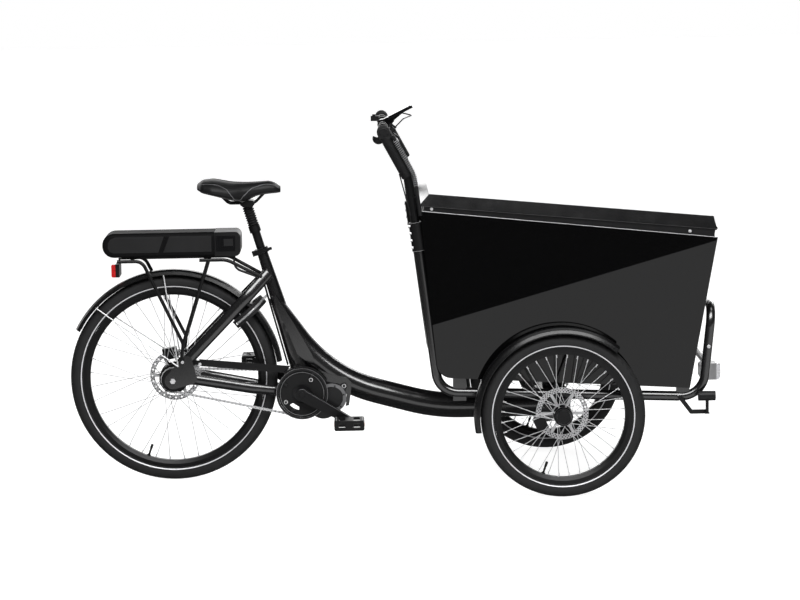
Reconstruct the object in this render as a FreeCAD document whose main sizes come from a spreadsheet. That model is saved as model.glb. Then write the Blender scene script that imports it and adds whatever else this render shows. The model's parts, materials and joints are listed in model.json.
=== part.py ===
"""Cargo tricycle with two front wheels, a lidded box and a motor at the crank.

The frame has +X forward, +Y to the rider's left and +Z up. Its origin is on the ground, half way along
the tricycle and in its middle plane. All lengths are millimetres and all angles degrees.
"""
import FreeCAD
import Part
import Sketcher
import math
import os

Vector = FreeCAD.Vector
Rotation = FreeCAD.Rotation

RIGHT = -1
LEFT = 1
SIDES = {"right": RIGHT, "left": LEFT}

SIZES = (
    # Where the wheels stand, and how far the head lamp reaches ahead of the front axle
    ("wheelbase", 1200), ("track", 800), ("lamp_reach", 525),
    # Tyres and rims
    ("rear_tyre_radius", 326.5), ("front_tyre_radius", 250), ("tyre_section", 47),
    ("rim_flange", 6.7), ("rim_well", 15), ("rim_shoulder", 4), ("rim_width", 30), ("rim_bed", 16),
    ("seat_gap", 0.3), ("run_clearance", 0.06),
    # Spokes
    ("spoke_radius", 1), ("spoke_sink", 3), ("spoke_count", 36), ("spoke_cross_angle", 40),
    ("spoke_stagger", 1.3), ("spoke_bed_offset", 3),
    # Rear hub, axle and what sits on it
    ("axle_radius", 5), ("axle_half_length", 92),
    ("rear_hub_half", 43), ("rear_hub_neck", 22), ("rear_hub_shell", 36), ("rear_flange_radius", 46),
    ("rear_flange_offset", 26), ("flange_thickness", 5),
    ("hub_cover_radius", 37), ("hub_cover_inner", 53), ("hub_cover_outer", 66), ("hub_cover_round", 4),
    ("axle_nut_radius", 9), ("axle_nut_length", 9),
    # Front hubs and their stub axles
    ("stub_radius", 10), ("front_hub_inner", 42), ("front_hub_outer", 30), ("front_hub_shell", 17),
    ("front_flange_radius", 29), ("front_flange_offset", 17),
    ("hub_cap_radius", 24.5), ("hub_cap_length", 12), ("hub_cap_round", 4), ("stub_shoulder", 14),
    # Brake rotors
    ("rotor_radius", 80), ("rotor_ring_width", 15), ("rotor_thickness", 2), ("rotor_core_radius", 30),
    ("rotor_bore", 16.5), ("rotor_arm_width", 9), ("rotor_arm_count", 6), ("rotor_hole_radius", 2.6),
    ("rotor_hole_count", 24), ("front_rotor_inset", 36),
    # Crank, chainring and chain
    ("chainstay_reach", 403.5), ("crank_drop", 51.5), ("crank_length", 170), ("crank_angle", 30),
    ("crank_boss", 19), ("crank_tip", 13), ("crank_thickness", 14), ("crank_inner", 70),
    ("spindle_radius", 9), ("chain_offset", 48), ("chain_pitch", 12.7), ("ring_teeth", 36),
    ("cog_teeth", 18),
    ("chain_height", 8.4), ("chain_width", 7), ("chain_clearance", 0.4), ("sprocket_thickness", 3),
    ("ring_web", 14), ("spider_radius", 34), ("spider_arm_width", 15), ("spider_arm_count", 3),
    ("guard_ring_radius", 81.5), ("guard_ring_width", 7), ("guard_ring_thickness", 3),
    ("guard_ring_offset", 60.5),
    ("guard_tab_width", 6), ("guard_tab_count", 4), ("cog_boss", 14), ("cog_boss_length", 9),
    # Pedals
    ("pedal_length", 94), ("pedal_height", 31), ("pedal_width", 84), ("pedal_gap", 8), ("pedal_spindle", 7),
    ("pedal_end_wall", 14), ("pedal_side_bar", 9), ("pedal_core", 13), ("pedal_round", 6),
    # Chain guard
    ("guard_thickness", 2.5), ("guard_offset", 55.8), ("guard_height", 22), ("guard_rear_reach", 83),
    ("guard_rear_rise", 54), ("guard_front_back", 43.5), ("guard_front_rise", 78),
    ("guard_end_share", 0.73), ("hood_gap", 2), ("hood_thickness", 4), ("hood_depth", 12),
    ("hood_start_angle", 25), ("hood_end_angle", 130), ("guard_tab_length", 26), ("guard_tab_height", 14),
    # Motor
    ("motor_reach", 93), ("motor_drop", 18), ("motor_radius", 46), ("motor_shell_radius", 44),
    ("belly_reach", 66), ("belly_drop", 39), ("motor_half_width", 37), ("motor_cover_depth", 7),
    ("motor_cover_recess", 3), ("motor_cover_ring", 10),
    # Main tube and head tube
    ("main_tube_radius", 40), ("main_tube_drop", 31), ("neck_radius", 24), ("neck_length", 130),
    ("main_start_back", 103), ("main_start_rise", 292), ("main_bend_ahead", 82.5), ("main_bend_rise", 37.5),
    ("main_bend_share", 0.604), ("main_level_share", 0.4465), ("main_sweep_share", 0.788),
    ("kingpin_trail", 35), ("kingpin_radius", 15), ("head_radius", 31), ("head_top_rise", 16),
    ("head_bottom_drop", 78), ("pin_cap_radius", 26), ("pin_cap_height", 8), ("cap_gap", 0.4),
    # Seat tube
    ("seat_lean", 16.5), ("seat_axis_lead", 15.7), ("seat_tube_bottom", 47),
    ("seat_tube_top_radius", 16.4), ("seat_tube_bottom_radius", 30), ("seat_bore_depth", 270),
    # Motor bracket plates
    ("bracket_thickness", 5), ("bracket_gap", 36),
    # Stays and dropouts
    ("stay_half_height", 18), ("stay_half_width", 10), ("chain_stay_half_height", 16),
    ("dropout_thickness", 8), ("dropout_gap", 68), ("dropout_eye", 26), ("dropout_arm", 17),
    ("seat_stay_reach", 45), ("seat_stay_rise", 61.5), ("seat_stay_spread", 66),
    ("seat_stay_mid_spread", 58),
    ("seat_stay_top_share", 0.83), ("seat_stay_top_spread", 27), ("seat_stay_mid_share", 0.74),
    ("seat_stay_bend", 120), ("chain_stay_reach", 42), ("chain_stay_lift", 6), ("chain_stay_spread", 66),
    ("chain_stay_mid_back", 153), ("chain_stay_mid_rise", 18), ("chain_stay_mid_spread", 51),
    ("chain_stay_end_back", 57), ("chain_stay_end_rise", 3), ("chain_stay_end_spread", 28),
    ("chain_stay_bend", 200), ("yoke_half_width", 30),
    # Seat clamp and its lever
    ("collar_height", 17), ("collar_wall", 5), ("lever_length", 58), ("lever_height", 9),
    ("lever_thickness", 6), ("lever_pin_radius", 3), ("lever_gap", 0.4), ("lever_pivot_share", 0.42),
    # Seat post, plunger, boot and saddle
    ("post_radius", 13.6), ("post_insert", 170), ("post_top", 75), ("post_collar_radius", 18),
    ("post_collar_height", 22), ("plunger_radius", 11), ("plunger_insert", 60), ("plunger_bore_depth", 120),
    ("boot_height", 62), ("boot_gap", 0.5), ("boot_wall", 2.5), ("rib_count", 8), ("rib_depth", 4),
    ("seat_head_height", 20), ("seat_head_length", 44), ("seat_head_width", 54),
    ("rail_radius", 3.5), ("rail_spread", 21), ("rail_length", 81), ("rail_height_share", 0.6),
    ("rail_rise", 32), ("rail_bend", 22),
    ("rail_back_share", 0.71),
    ("saddle_length", 258), ("saddle_width", 205), ("saddle_rear", 91), ("saddle_over_battery", 101.2),
    ("saddle_lift", 28.6),
    ("saddle_height", 62),
    # Carrier
    ("carrier_tube", 5.5), ("carrier_bolt", 7.5), ("carrier_gap", 32.5), ("carrier_half_width", 56),
    ("carrier_foot_half", 82),
    ("carrier_foot_reach", 28), ("carrier_foot_rise", 62), ("carrier_knee_reach", 36),
    ("carrier_knee_rise", 118),
    ("carrier_rear", 87), ("carrier_tail", 165), ("carrier_front", 178), ("carrier_front_leg", 120),
    ("carrier_front_start", 92), ("carrier_bend", 34),
    ("carrier_stay_drop", 10.2), ("carrier_stay_back", 21.7), ("carrier_stay_half", 40),
    # Battery, tray and dock
    ("tray_thickness", 6), ("tray_half_width", 45), ("tray_rear", 150), ("battery_rear", 210),
    ("battery_front", 140), ("dock_front", 222), ("dock_gap", 1), ("battery_height", 76),
    ("battery_half_width", 62), ("battery_rear_round", 36), ("battery_edge_round", 14), ("dock_round", 18),
    ("tray_lift", 0.3), ("seam_low_back", 27), ("seam_high_back", 6), ("seam_width", 2),
    # Rear light
    ("light_rear", 185), ("lens_depth", 13), ("light_depth", 12), ("light_height", 41),
    ("light_half_width", 42),
    ("light_drop", 10), ("light_round", 5), ("light_arm", 4),
    # Rear mudguard
    ("fender_gap", 18.5), ("fender_thickness", 2), ("fender_half_width", 32), ("fender_lip_drop", 14),
    ("rear_fender_start_angle", 8), ("rear_fender_end_angle", 152), ("wire_radius", 2),
    ("wire_rear_angle", 136),
    ("wire_top_angle", 94), ("wire_foot_reach", 18), ("wire_foot_rise", 45),
    # Ring lock
    ("lock_angle", 40.5), ("lock_centre", 305), ("lock_inner", 50), ("lock_outer", 74),
    ("lock_half_depth", 13),
    ("lock_gap_angle", 110), ("lock_bolt_radius", 5), ("lock_bolt_angle", 128), ("lock_channel_gap", 0.4),
    ("lock_lug_radius", 5), ("lock_lug_spread", 58), ("lock_knob_radius", 4), ("lock_knob_reach", 92),
    ("lock_bolt_inset", 3), ("lock_slot_angle", 6), ("lock_travel_angle", 118), ("lock_lug_offset", 30),
    # Calipers
    ("caliper_length", 46), ("caliper_depth", 36), ("caliper_half_width", 11), ("caliper_slot", 5),
    ("rear_caliper_angle", 101), ("caliper_centre", 72), ("front_caliper_angle", 205),
    ("caliper_gap", 1), ("caliper_arm", 16),
    # Cables
    ("cable_radius", 2.5), ("cable_spread", 9), ("cable_standoff", 6), ("cable_dock_back", 24),
    ("cable_drop", 40),
    ("cable_fall", 69), ("cable_low_rise", 85), ("cable_bend", 30), ("bundle_radius", 6),
    ("clip_radius", 3), ("clip_drop", 60), ("bundle_offset", 27), ("bundle_ahead", 19),
    ("bundle_low_rise", 612),
    ("thin_cable_radius", 2), ("thin_cable_offset", 23), ("thin_cable_back", 10), ("loop_ahead", 92),
    ("loop_rise", 28),
    # Side tubes and the handlebar clamps
    ("tube_radius", 15), ("tube_spread", 325), ("leg_lean", 7), ("leg_back", 373), ("leg_foot_rise", 67.4),
    ("leg_top_rise", 590), ("run_end", 360), ("run_end_rise", 39.6), ("leg_bend", 65),
    ("clamp_height", 88), ("clamp_wall", 5.2), ("clamp_ear", 2), ("clamp_bolt", 4), ("clamp_bolt_count", 4),
    ("clamp_bolt_offset", 9), ("leg_bore_depth", 215),
    # Bumper
    ("bumper_radius", 14), ("bumper_foot", 433), ("bumper_foot_rise", 38), ("bumper_top", 463),
    ("bumper_top_rise", 313), ("bumper_bend", 72), ("bumper_corner", 60), ("bumper_bar_rise", 142),
    ("bumper_bar_radius", 11), ("bumper_bar_ahead", 445),
    # Axle beam and stub plates
    ("beam_rear", 50), ("beam_front", 20), ("beam_bottom_rise", 22), ("beam_height", 36),
    ("plate_inner", 317), ("plate_outer", 333), ("plate_rear", 70), ("plate_front", 28), ("plate_drop", 28),
    ("plate_top_rise", 42), ("pad_length", 40), ("pad_width", 16), ("front_pad_ahead", 372),
    ("rear_pad_back", 310),
    ("saddle_half_width", 200),
    # Box
    ("box_half_width", 345), ("panel_thickness", 10), ("floor_thickness", 12),
    ("box_top_rear", 422), ("box_top_rear_rise", 625), ("box_top_front", 479), ("box_top_front_rise", 528),
    ("box_low_rear", 374.5), ("box_low_rear_rise", 114.5), ("box_low_front", 392),
    ("box_low_front_rise", 67),
    ("box_corner_round", 45), ("back_low_share", 0.1), ("floor_rear_share", 0.065),
    ("rim_rear", 410), ("rim_front", 470), ("rim_half_width", 340), ("rim_bar", 38),
    # Lid
    ("lid_rear", 426), ("lid_front", 476), ("lid_rear_rise", 640.7), ("lid_front_rise", 552.9),
    ("lid_height", 38), ("lid_wall", 3), ("lid_rear_inset", 33), ("lid_front_inset", 8),
    ("lid_side_inset", 10),
    ("lid_lip", 20), ("hinge_ahead", 6), ("hinge_drop", 6), ("hinge_radius", 6), ("hinge_pin", 3.5),
    ("hinge_length", 28), ("hinge_spread", 240), ("hinge_gap", 0.4),
    # Front mudguards
    ("front_fender_gap", 20), ("front_fender_half", 34), ("front_fender_drop", 16),
    ("front_fender_start_angle", 50),
    ("front_fender_end_angle", 190), ("fender_bracket", 5), ("bracket_reach", 50), ("bracket_rise", 15),
    ("bracket_spread", 353),
    ("bracket_rear_angle", 125), ("bracket_front_angle", 80),
    # Lamps
    ("lamp_length", 64), ("lamp_height", 52), ("lamp_half_width", 30), ("lamp_rise", 38),
    ("lamp_round", 12),
    ("lamp_arm", 12), ("side_lamp_radius", 15), ("side_lamp_rear", 416),
    ("side_lamp_front", 468), ("side_lamp_rise", 44), ("side_lamp_arm", 4), ("side_lamp_foot", 361),
    ("side_lamp_elbow", 396), ("side_lamp_elbow_drop", 7), ("side_lamp_arm_height", 13),
    ("side_lamp_post", 5), ("side_lamp_spread", 357), ("side_lamp_foot_ahead", 443),
    # Handlebar
    ("bar_radius", 13.5), ("bar_insert", 150), ("bar_bend_rise", 727.6), ("bar_top_back", 527.3),
    ("bar_top_rise", 864.7), ("bar_bend", 200), ("cross_radius", 11), ("cross_overhang", 22),
    ("grip_radius", 20.5), ("grip_length", 155),
    # Display
    ("display_length", 86), ("display_width", 60), ("display_thickness", 9), ("display_tilt", 26),
    ("display_ring", 16),
    ("display_ring_width", 24), ("display_arm_width", 20),
    ("display_back", 18), ("display_lift", 14), ("display_arm_share", 0.6),
    # Brake lever mounts, switch and bell
    ("mount_spread", 190), ("mount_ring", 16), ("mount_width", 30), ("mount_reach", 52), ("mount_half", 10),
    ("mount_angle", 38.5), ("pivot_reach", 43), ("tank_radius", 8), ("tank_height", 22),
    ("lever_blade_length", 98), ("blade_radius", 6), ("blade_tip_radius", 4),
    ("blade_tip_ahead", 10), ("blade_pivot", 3), ("fork_gap", 0.5), ("fork_depth", 4), ("blade_height", 9),
    ("switch_spread", 118), ("switch_width", 22), ("switch_back", 36), ("switch_low", 2),
    ("switch_height", 16),
    ("button_radius", 5), ("button_length", 9), ("button_travel", 2.5), ("button_gap", 0.3),
    ("bell_spread", 130), ("bell_radius", 19), ("bell_drop", 34), ("bell_back", 14), ("bell_post", 4),
    # Reach of a cutting tool past the piece that it cuts
    ("overrun", 20),
)


class Size:
    """A size with its value and the expression that ties it to the sheet."""

    def __init__(self, value, text):
        self.value = value
        self.text = text

    def joined(self, other, sign, value):
        text = other.text if isinstance(other, Size) else repr(other)
        return Size(value, f"({self.text} {sign} {text})")

    def __add__(self, other):
        return self.joined(other, "+", self.value + plain(other))

    def __sub__(self, other):
        return self.joined(other, "-", self.value - plain(other))

    def __mul__(self, other):
        return self.joined(other, "*", self.value * plain(other))

    def __truediv__(self, other):
        return self.joined(other, "/", self.value / plain(other))

    def __neg__(self):
        return Size(-self.value, f"(-{self.text})")


def plain(size):
    """The number behind a size, or the number itself."""
    return size.value if isinstance(size, Size) else size


def sine(angle):
    return Size(math.sin(math.radians(angle.value)), f"sin({angle.text})")


def cosine(angle):
    return Size(math.cos(math.radians(angle.value)), f"cos({angle.text})")


def tangent(angle):
    return Size(math.tan(math.radians(angle.value)), f"tan({angle.text})")


def root(size):
    return Size(math.sqrt(size.value), f"sqrt({size.text})")


class Sheet:
    """The spreadsheet of driving sizes, read back as sizes by their names."""

    def __init__(self, document, rows):
        self.rows = dict(rows)
        table = document.addObject("Spreadsheet::Sheet", "Sizes")
        for index, (name, value) in enumerate(rows, start=1):
            table.set(f"A{index}", name)
            table.set(f"B{index}", str(value))
            table.setAlias(f"B{index}", name)
        document.recompute()

    def __getattr__(self, name):
        return Size(self.rows[name], f"Sizes.{name}")


doc = FreeCAD.newDocument("CargoTricycle")
s = Sheet(doc, SIZES)
ZERO = s.overrun * 0

# The rear axle, the crank and the front axle, from which every other place is measured
rear_x = (s.rear_tyre_radius - s.wheelbase - s.lamp_reach) / 2
rear_z = s.rear_tyre_radius
crank_x = rear_x + s.chainstay_reach
crank_z = rear_z - s.crank_drop
front_x = rear_x + s.wheelbase
front_z = s.front_tyre_radius
kingpin_x = front_x - s.kingpin_trail
half_track = s.track / 2


def vector(spot):
    """The numbers of a place given as three sizes."""
    return Vector(*(plain(size) for size in spot))


def bind(thing, **sizes):
    """Ties properties of an object to sizes."""
    for name, size in sizes.items():
        thing.setExpression(name, size.text)
    return thing


def place(thing, spot, rotation=None):
    """Puts an object at a place, tied to its sizes."""
    thing.Placement = FreeCAD.Placement(vector(spot), rotation or Rotation())
    for axis, size in zip("xyz", spot):
        thing.setExpression(f"Placement.Base.{axis}", size.text)
    return thing


def add(kind, name):
    return doc.addObject(kind, name)


AXIS_TURNS = {
    "x": Rotation(Vector(0, 1, 0), 90),
    "y": Rotation(Vector(1, 0, 0), -90),
    "z": Rotation(),
}


def cylinder(name, radius, length, spot, axis):
    """A round bar from a place along +X, +Y or +Z."""
    bar = bind(add("Part::Cylinder", name), Radius=radius, Height=length)
    return place(bar, spot, AXIS_TURNS[axis])


def cross_cylinder(name, radius, x, z, y_from, y_to):
    """A round bar across the tricycle."""
    return cylinder(name, radius, y_to - y_from, (x, y_from, z), "y")


def block(name, low, high):
    """A box between two corners."""
    box = bind(add("Part::Box", name), Length=high[0] - low[0], Width=high[1] - low[1],
               Height=high[2] - low[2])
    return place(box, low)


def rod(name, start, end, radius):
    """A straight round bar between two places."""
    run = vector(end) - vector(start)
    bar = bind(add("Part::Cylinder", name), Radius=radius)
    bar.Height = run.Length
    return place(bar, start, Rotation(Vector(0, 0, 1), run))


def cut(name, base, tool):
    result = add("Part::Cut", name)
    result.Base = base
    result.Tool = tool
    return result


def common(name, base, tool):
    result = add("Part::Common", name)
    result.Base = base
    result.Tool = tool
    return result


def fuse(name, pieces):
    result = add("Part::MultiFuse", name)
    result.Shapes = pieces
    return result


def group(name, pieces):
    """Several separate solids under one name."""
    result = add("Part::Compound", name)
    result.Links = pieces
    return result


def mirrored(name, source):
    """The same piece on the other side of the middle plane."""
    result = add("Part::Mirroring", name)
    result.Source = source
    result.Base = Vector(0, 0, 0)
    result.Normal = Vector(0, 1, 0)
    return result


def pair(name, right):
    """A right-hand piece and its left-hand twin as one group."""
    return group(name, [right, mirrored(f"{name}_twin", right)])


def origin_plane(body, role):
    return next(plane for plane in body.Origin.OriginFeatures if plane.Role == role)


def outline_sketch(body, name, corners, role="XZ_Plane"):
    """A closed sketch with straight sides, each corner tied to its two sizes."""
    sketch = body.newObject("Sketcher::SketchObject", name)
    sketch.AttachmentSupport = [(origin_plane(body, role), "")]
    sketch.MapMode = "FlatFace"
    points = [Vector(plain(u), plain(v), 0) for u, v in corners]
    count = len(points)
    for index, point in enumerate(points):
        sketch.addGeometry(Part.LineSegment(point, points[(index + 1) % count]), False)
    for index in range(count):
        sketch.addConstraint(Sketcher.Constraint("Coincident", index, 2, (index + 1) % count, 1))
    for index, corner in enumerate(corners):
        for kind, size in zip(("DistanceX", "DistanceY"), corner):
            number = sketch.addConstraint(Sketcher.Constraint(kind, -1, 1, index, 1, size.value))
            sketch.setExpression(f"Constraints[{number}]", size.text)
    return sketch


def slab(name, corners, thickness, y_centre=ZERO):
    """A plate with an outline in the XZ plane, as thick on each side of its middle."""
    body = add("PartDesign::Body", name)
    sketch = outline_sketch(body, f"{name}_outline", corners)
    pad = body.newObject("PartDesign::Pad", f"{name}_pad")
    pad.Profile = sketch
    pad.SideType = "Symmetric"
    bind(pad, Length=thickness)
    return place(body, (ZERO, y_centre, ZERO))


def rounded(body, radius, chosen):
    """Rounds the edges of a body that a test picks."""
    doc.recompute()
    base = body.Tip
    names = [f"Edge{number}" for number, edge in enumerate(base.Shape.Edges, start=1) if chosen(edge)]
    fillet = body.newObject("PartDesign::Fillet", f"{body.Name}_round{len(body.Group)}")
    fillet.Base = (base, names)
    bind(fillet, Radius=radius)
    doc.recompute()
    return body


def is_cross(edge):
    """Whether an edge runs straight across the tricycle."""
    along = edge.tangentAt(edge.FirstParameter)
    return edge.Curve.TypeId == "Part::GeomLine" and abs(along.y) > math.cos(math.radians(1))


def spun(name, corners, spot, rotation, span=None):
    """A piece turned about its own upright axis: corners are radius and height."""
    body = add("PartDesign::Body", name)
    sketch = outline_sketch(body, f"{name}_outline", corners)
    turn = body.newObject("PartDesign::Revolution", f"{name}_turn")
    turn.Profile = sketch
    turn.ReferenceAxis = (sketch, ["V_Axis"])
    if span is None:
        turn.Angle = 360
    else:
        bind(turn, Angle=span)
    return place(body, spot, rotation)


def turned(name, corners, spot, side, start=ZERO, span=None):
    """A piece turned about a cross axis: corners are radius and distance outwards on that side."""
    lift = Rotation(Vector(0, 1, 0), -start.value)
    return spun(name, corners, spot, lift.multiply(Rotation(Vector(1, 0, 0), -90 * side)), span)


def hull_outline(circles):
    """The closed wire round circles (x, z, radius) that are listed counterclockwise."""
    spots = [(Vector(plain(x), 0, plain(z)), plain(radius)) for x, z, radius in circles]
    count = len(spots)
    normals = []
    for index, (centre, radius) in enumerate(spots):
        far_centre, far_radius = spots[(index + 1) % count]
        run = far_centre - centre
        lean = (radius - far_radius) / run.Length
        along = run.normalize()
        outward = Vector(along.z, 0, -along.x)
        normals.append(along * lean + outward * math.sqrt(1 - lean * lean))
    edges = []
    for index, (centre, radius) in enumerate(spots):
        entry, leave = normals[index - 1], normals[index]
        first = math.atan2(entry.z, entry.x)
        last = math.atan2(leave.z, leave.x)
        middle = (first + (last if last > first else last + 2 * math.pi)) / 2
        crown = centre + Vector(math.cos(middle), 0, math.sin(middle)) * radius
        end = centre + leave * radius
        edges.append(Part.Arc(centre + entry * radius, crown, end).toShape())
        far_centre, far_radius = spots[(index + 1) % count]
        edges.append(Part.LineSegment(end, far_centre + leave * far_radius).toShape())
    return Part.Wire(edges)


def hull_solid(name, circles, thickness, spot, rotation):
    """A plate whose outline goes round circles in its own XY plane, as thick on each side of that plane."""
    face = add("Part::Feature", f"{name}_face")
    face.Shape = Part.Face(hull_outline(circles))
    face.Placement = FreeCAD.Placement(vector(spot), rotation.multiply(Rotation(Vector(1, 0, 0), -90)))
    plate = add("Part::Extrusion", name)
    plate.Base = face
    plate.DirMode = "Custom"
    plate.Dir = rotation.multVec(Vector(0, 0, 1))
    plate.Symmetric = True
    plate.Solid = True
    return bind(plate, LengthFwd=thickness)


def hull_plate(name, circles, thickness, y_centre):
    """A plate whose outline goes round circles in the XZ plane."""
    return hull_solid(name, circles, thickness, (ZERO, y_centre, ZERO), Rotation(Vector(1, 0, 0), 90))


def bent_path(spots, bends):
    """A wire of straight runs joined by tangent arcs, one bend radius for each inner point."""
    points = [vector(spot) for spot in spots]
    edges = []
    start = points[0]
    for before, corner, after, bend in zip(points, points[1:], points[2:], bends):
        back = (before - corner).normalize()
        ahead = (after - corner).normalize()
        half_turn = (math.pi - back.getAngle(ahead)) / 2
        reach = plain(bend) * math.tan(half_turn)
        entry = corner + back * reach
        leave = corner + ahead * reach
        middle = (back + ahead).normalize()
        crown = corner + middle * (plain(bend) / math.cos(half_turn) - plain(bend))
        edges.append(Part.LineSegment(start, entry).toShape())
        edges.append(Part.Arc(entry, crown, leave).toShape())
        start = leave
    edges.append(Part.LineSegment(start, points[-1]).toShape())
    return Part.Wire(edges)


def ring_at(name, radius, spot, along):
    """A circle across a path."""
    ring = bind(add("Part::Circle", name), Radius=radius)
    return place(ring, spot, Rotation(Vector(0, 0, 1), along))


def oval_at(name, half_height, half_width, spot, along):
    """An oval across a path, with its long axis upright."""
    oval = bind(add("Part::Ellipse", name), MajorRadius=half_height, MinorRadius=half_width)
    across = Vector(0, 1, 0)
    level = (across - along * across.dot(along)).normalize()
    return place(oval, spot, Rotation(level.cross(along), level, along, "ZYX"))


def swept(name, path_wire, sections):
    """A solid along a path through its sections."""
    path = add("Part::Feature", f"{name}_path")
    path.Shape = path_wire
    sweep = add("Part::Sweep", name)
    sweep.Sections = sections
    sweep.Spine = (path, [f"Edge{number}" for number in range(1, len(path_wire.Edges) + 1)])
    sweep.Solid = True
    return sweep


def tube(name, spots, bends, radius):
    """A bent round tube through places."""
    along = (vector(spots[1]) - vector(spots[0])).normalize()
    section = ring_at(f"{name}_section", radius, spots[0], along)
    return swept(name, bent_path(spots, bends), [section])


def oval_tube(name, spots, bends, half_height, half_width):
    """A bent oval tube through places."""
    along = (vector(spots[1]) - vector(spots[0])).normalize()
    section = oval_at(f"{name}_section", half_height, half_width, spots[0], along)
    return swept(name, bent_path(spots, bends), [section])


def across_middle(spots):
    """The same places on the other side of the middle plane."""
    return [(x, -y, z) for x, y, z in spots]


def seat_spot(rise, y=ZERO):
    """A place on the seat tube's axis, at a height above the crank."""
    return crank_x + s.seat_axis_lead - rise * tangent(s.seat_lean), y, crank_z + rise


SEAT_TURN = Rotation(Vector(0, 1, 0), -s.seat_lean.value)
seat_axis = SEAT_TURN.multVec(Vector(0, 0, 1))


def along_seat(rise, length):
    """The height above the crank of a place further along the seat tube's axis."""
    return rise + length * cosine(s.seat_lean)


# Heights behind the seat tube, from the mudguard up: carrier, tray, battery and saddle
carrier_height = s.rear_tyre_radius * 2 + s.fender_gap + s.carrier_gap
tray_low = carrier_height + s.carrier_tube
tray_high = tray_low + s.tray_thickness
battery_low = tray_high + s.tray_lift
battery_high = battery_low + s.battery_height
saddle_base = battery_high + s.saddle_over_battery

# Heights above the crank on the seat tube's axis, from the saddle down
head_rise = saddle_base - s.saddle_lift - crank_z
post_top_rise = along_seat(head_rise, -s.boot_height)
seat_tube_top = along_seat(post_top_rise, -s.post_top)
seat_stay_top = seat_tube_top * s.seat_stay_top_share


def seat_cylinder(name, radius, rise, length):
    """A round bar on the seat tube's axis, from a height above the crank."""
    bar = bind(add("Part::Cylinder", name), Radius=radius, Height=length)
    return place(bar, seat_spot(rise), SEAT_TURN)


# Wheels

rear_axle_spot = (rear_x, ZERO, rear_z)


def front_axle_spot(side):
    return front_x, half_track * side, front_z


def wheel_tyre(name, tyre_radius, spot):
    """A tyre with a round section that sits on the rim."""
    half = s.tyre_section / 2
    ring = bind(add("Part::Torus", f"{name}_ring"), Radius1=tyre_radius - half, Radius2=half)
    place(ring, spot, AXIS_TURNS["y"])
    seat_radius = tyre_radius - s.tyre_section + s.rim_flange + s.seat_gap
    seat = cross_cylinder(f"{name}_seat", seat_radius, spot[0], spot[2], spot[1] - half, spot[1] + half)
    return cut(name, ring, seat)


def wheel_rim(name, tyre_radius, spot):
    """A rim that narrows from its flanges to its spoke bed."""
    bead = tyre_radius - s.tyre_section
    edge = s.rim_width / 2
    bed = s.rim_bed / 2
    corners = [
        (bead + s.rim_flange, -edge), (bead + s.rim_flange, edge), (bead - s.rim_shoulder, edge),
        (bead - s.rim_well, bed), (bead - s.rim_well, -bed), (bead - s.rim_shoulder, -edge),
    ]
    return turned(name, corners, spot, RIGHT)


def wheel_spokes(name, tyre_radius, flange_radius, flange_offset, spot):
    """Crossed spokes from both hub flanges to the rim's bed, none in the way of the ring lock's bolt."""
    count = round(s.spoke_count.value)
    inner = flange_radius.value - s.spoke_sink.value
    outer = tyre_radius.value - s.tyre_section.value - s.rim_well.value + s.spoke_sink.value
    bars = []
    for number in range(count):
        side = LEFT if number % 2 else RIGHT
        lead = 1 if number % 4 < 2 else -1
        rim_angle = math.radians(s.lock_angle.value) + 2 * math.pi * (number + 0.5) / count
        hub_angle = rim_angle + lead * math.radians(s.spoke_cross_angle.value)
        shift = lead * s.spoke_stagger.value
        hub_end = Vector(inner * math.cos(hub_angle), side * (flange_offset.value + shift),
                         inner * math.sin(hub_angle))
        rim_end = Vector(outer * math.cos(rim_angle), side * (s.spoke_bed_offset.value + shift),
                         outer * math.sin(rim_angle))
        run = rim_end - hub_end
        bars.append(Part.makeCylinder(s.spoke_radius.value, run.Length, hub_end, run))
    spokes = add("Part::Feature", name)
    spokes.Shape = Part.makeCompound(bars)
    return place(spokes, spot)


def circle_sketch(body, name, circles):
    """A sketch of circles (distance from the axis, radius) on the body's XY plane."""
    sketch = body.newObject("Sketcher::SketchObject", name)
    sketch.AttachmentSupport = [(origin_plane(body, "XY_Plane"), "")]
    sketch.MapMode = "FlatFace"
    for index, (distance, radius) in enumerate(circles):
        centre = Vector(plain(distance), 0, 0)
        sketch.addGeometry(Part.Circle(centre, Vector(0, 0, 1), radius.value), False)
        for kind, size in (("DistanceX", distance), ("DistanceY", ZERO)):
            number = sketch.addConstraint(Sketcher.Constraint(kind, -1, 1, index, 3, plain(size)))
            sketch.setExpression(f"Constraints[{number}]", size.text)
        number = sketch.addConstraint(Sketcher.Constraint("Radius", index, radius.value))
        sketch.setExpression(f"Constraints[{number}]", radius.text)
    return sketch


def repeat(body, feature, sketch, count):
    """Repeats a feature evenly about the body's axis."""
    pattern = body.newObject("PartDesign::PolarPattern", f"{feature.Name}_repeat")
    pattern.Originals = [feature]
    pattern.Axis = (sketch, ["N_Axis"])
    pattern.Angle = 360
    bind(pattern, Occurrences=count)
    body.Tip = pattern
    return pattern


def padded_up(body, sketch, length):
    pad = body.newObject("PartDesign::Pad", f"{sketch.Name}_pad")
    pad.Profile = sketch
    bind(pad, Length=length)
    return pad


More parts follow.
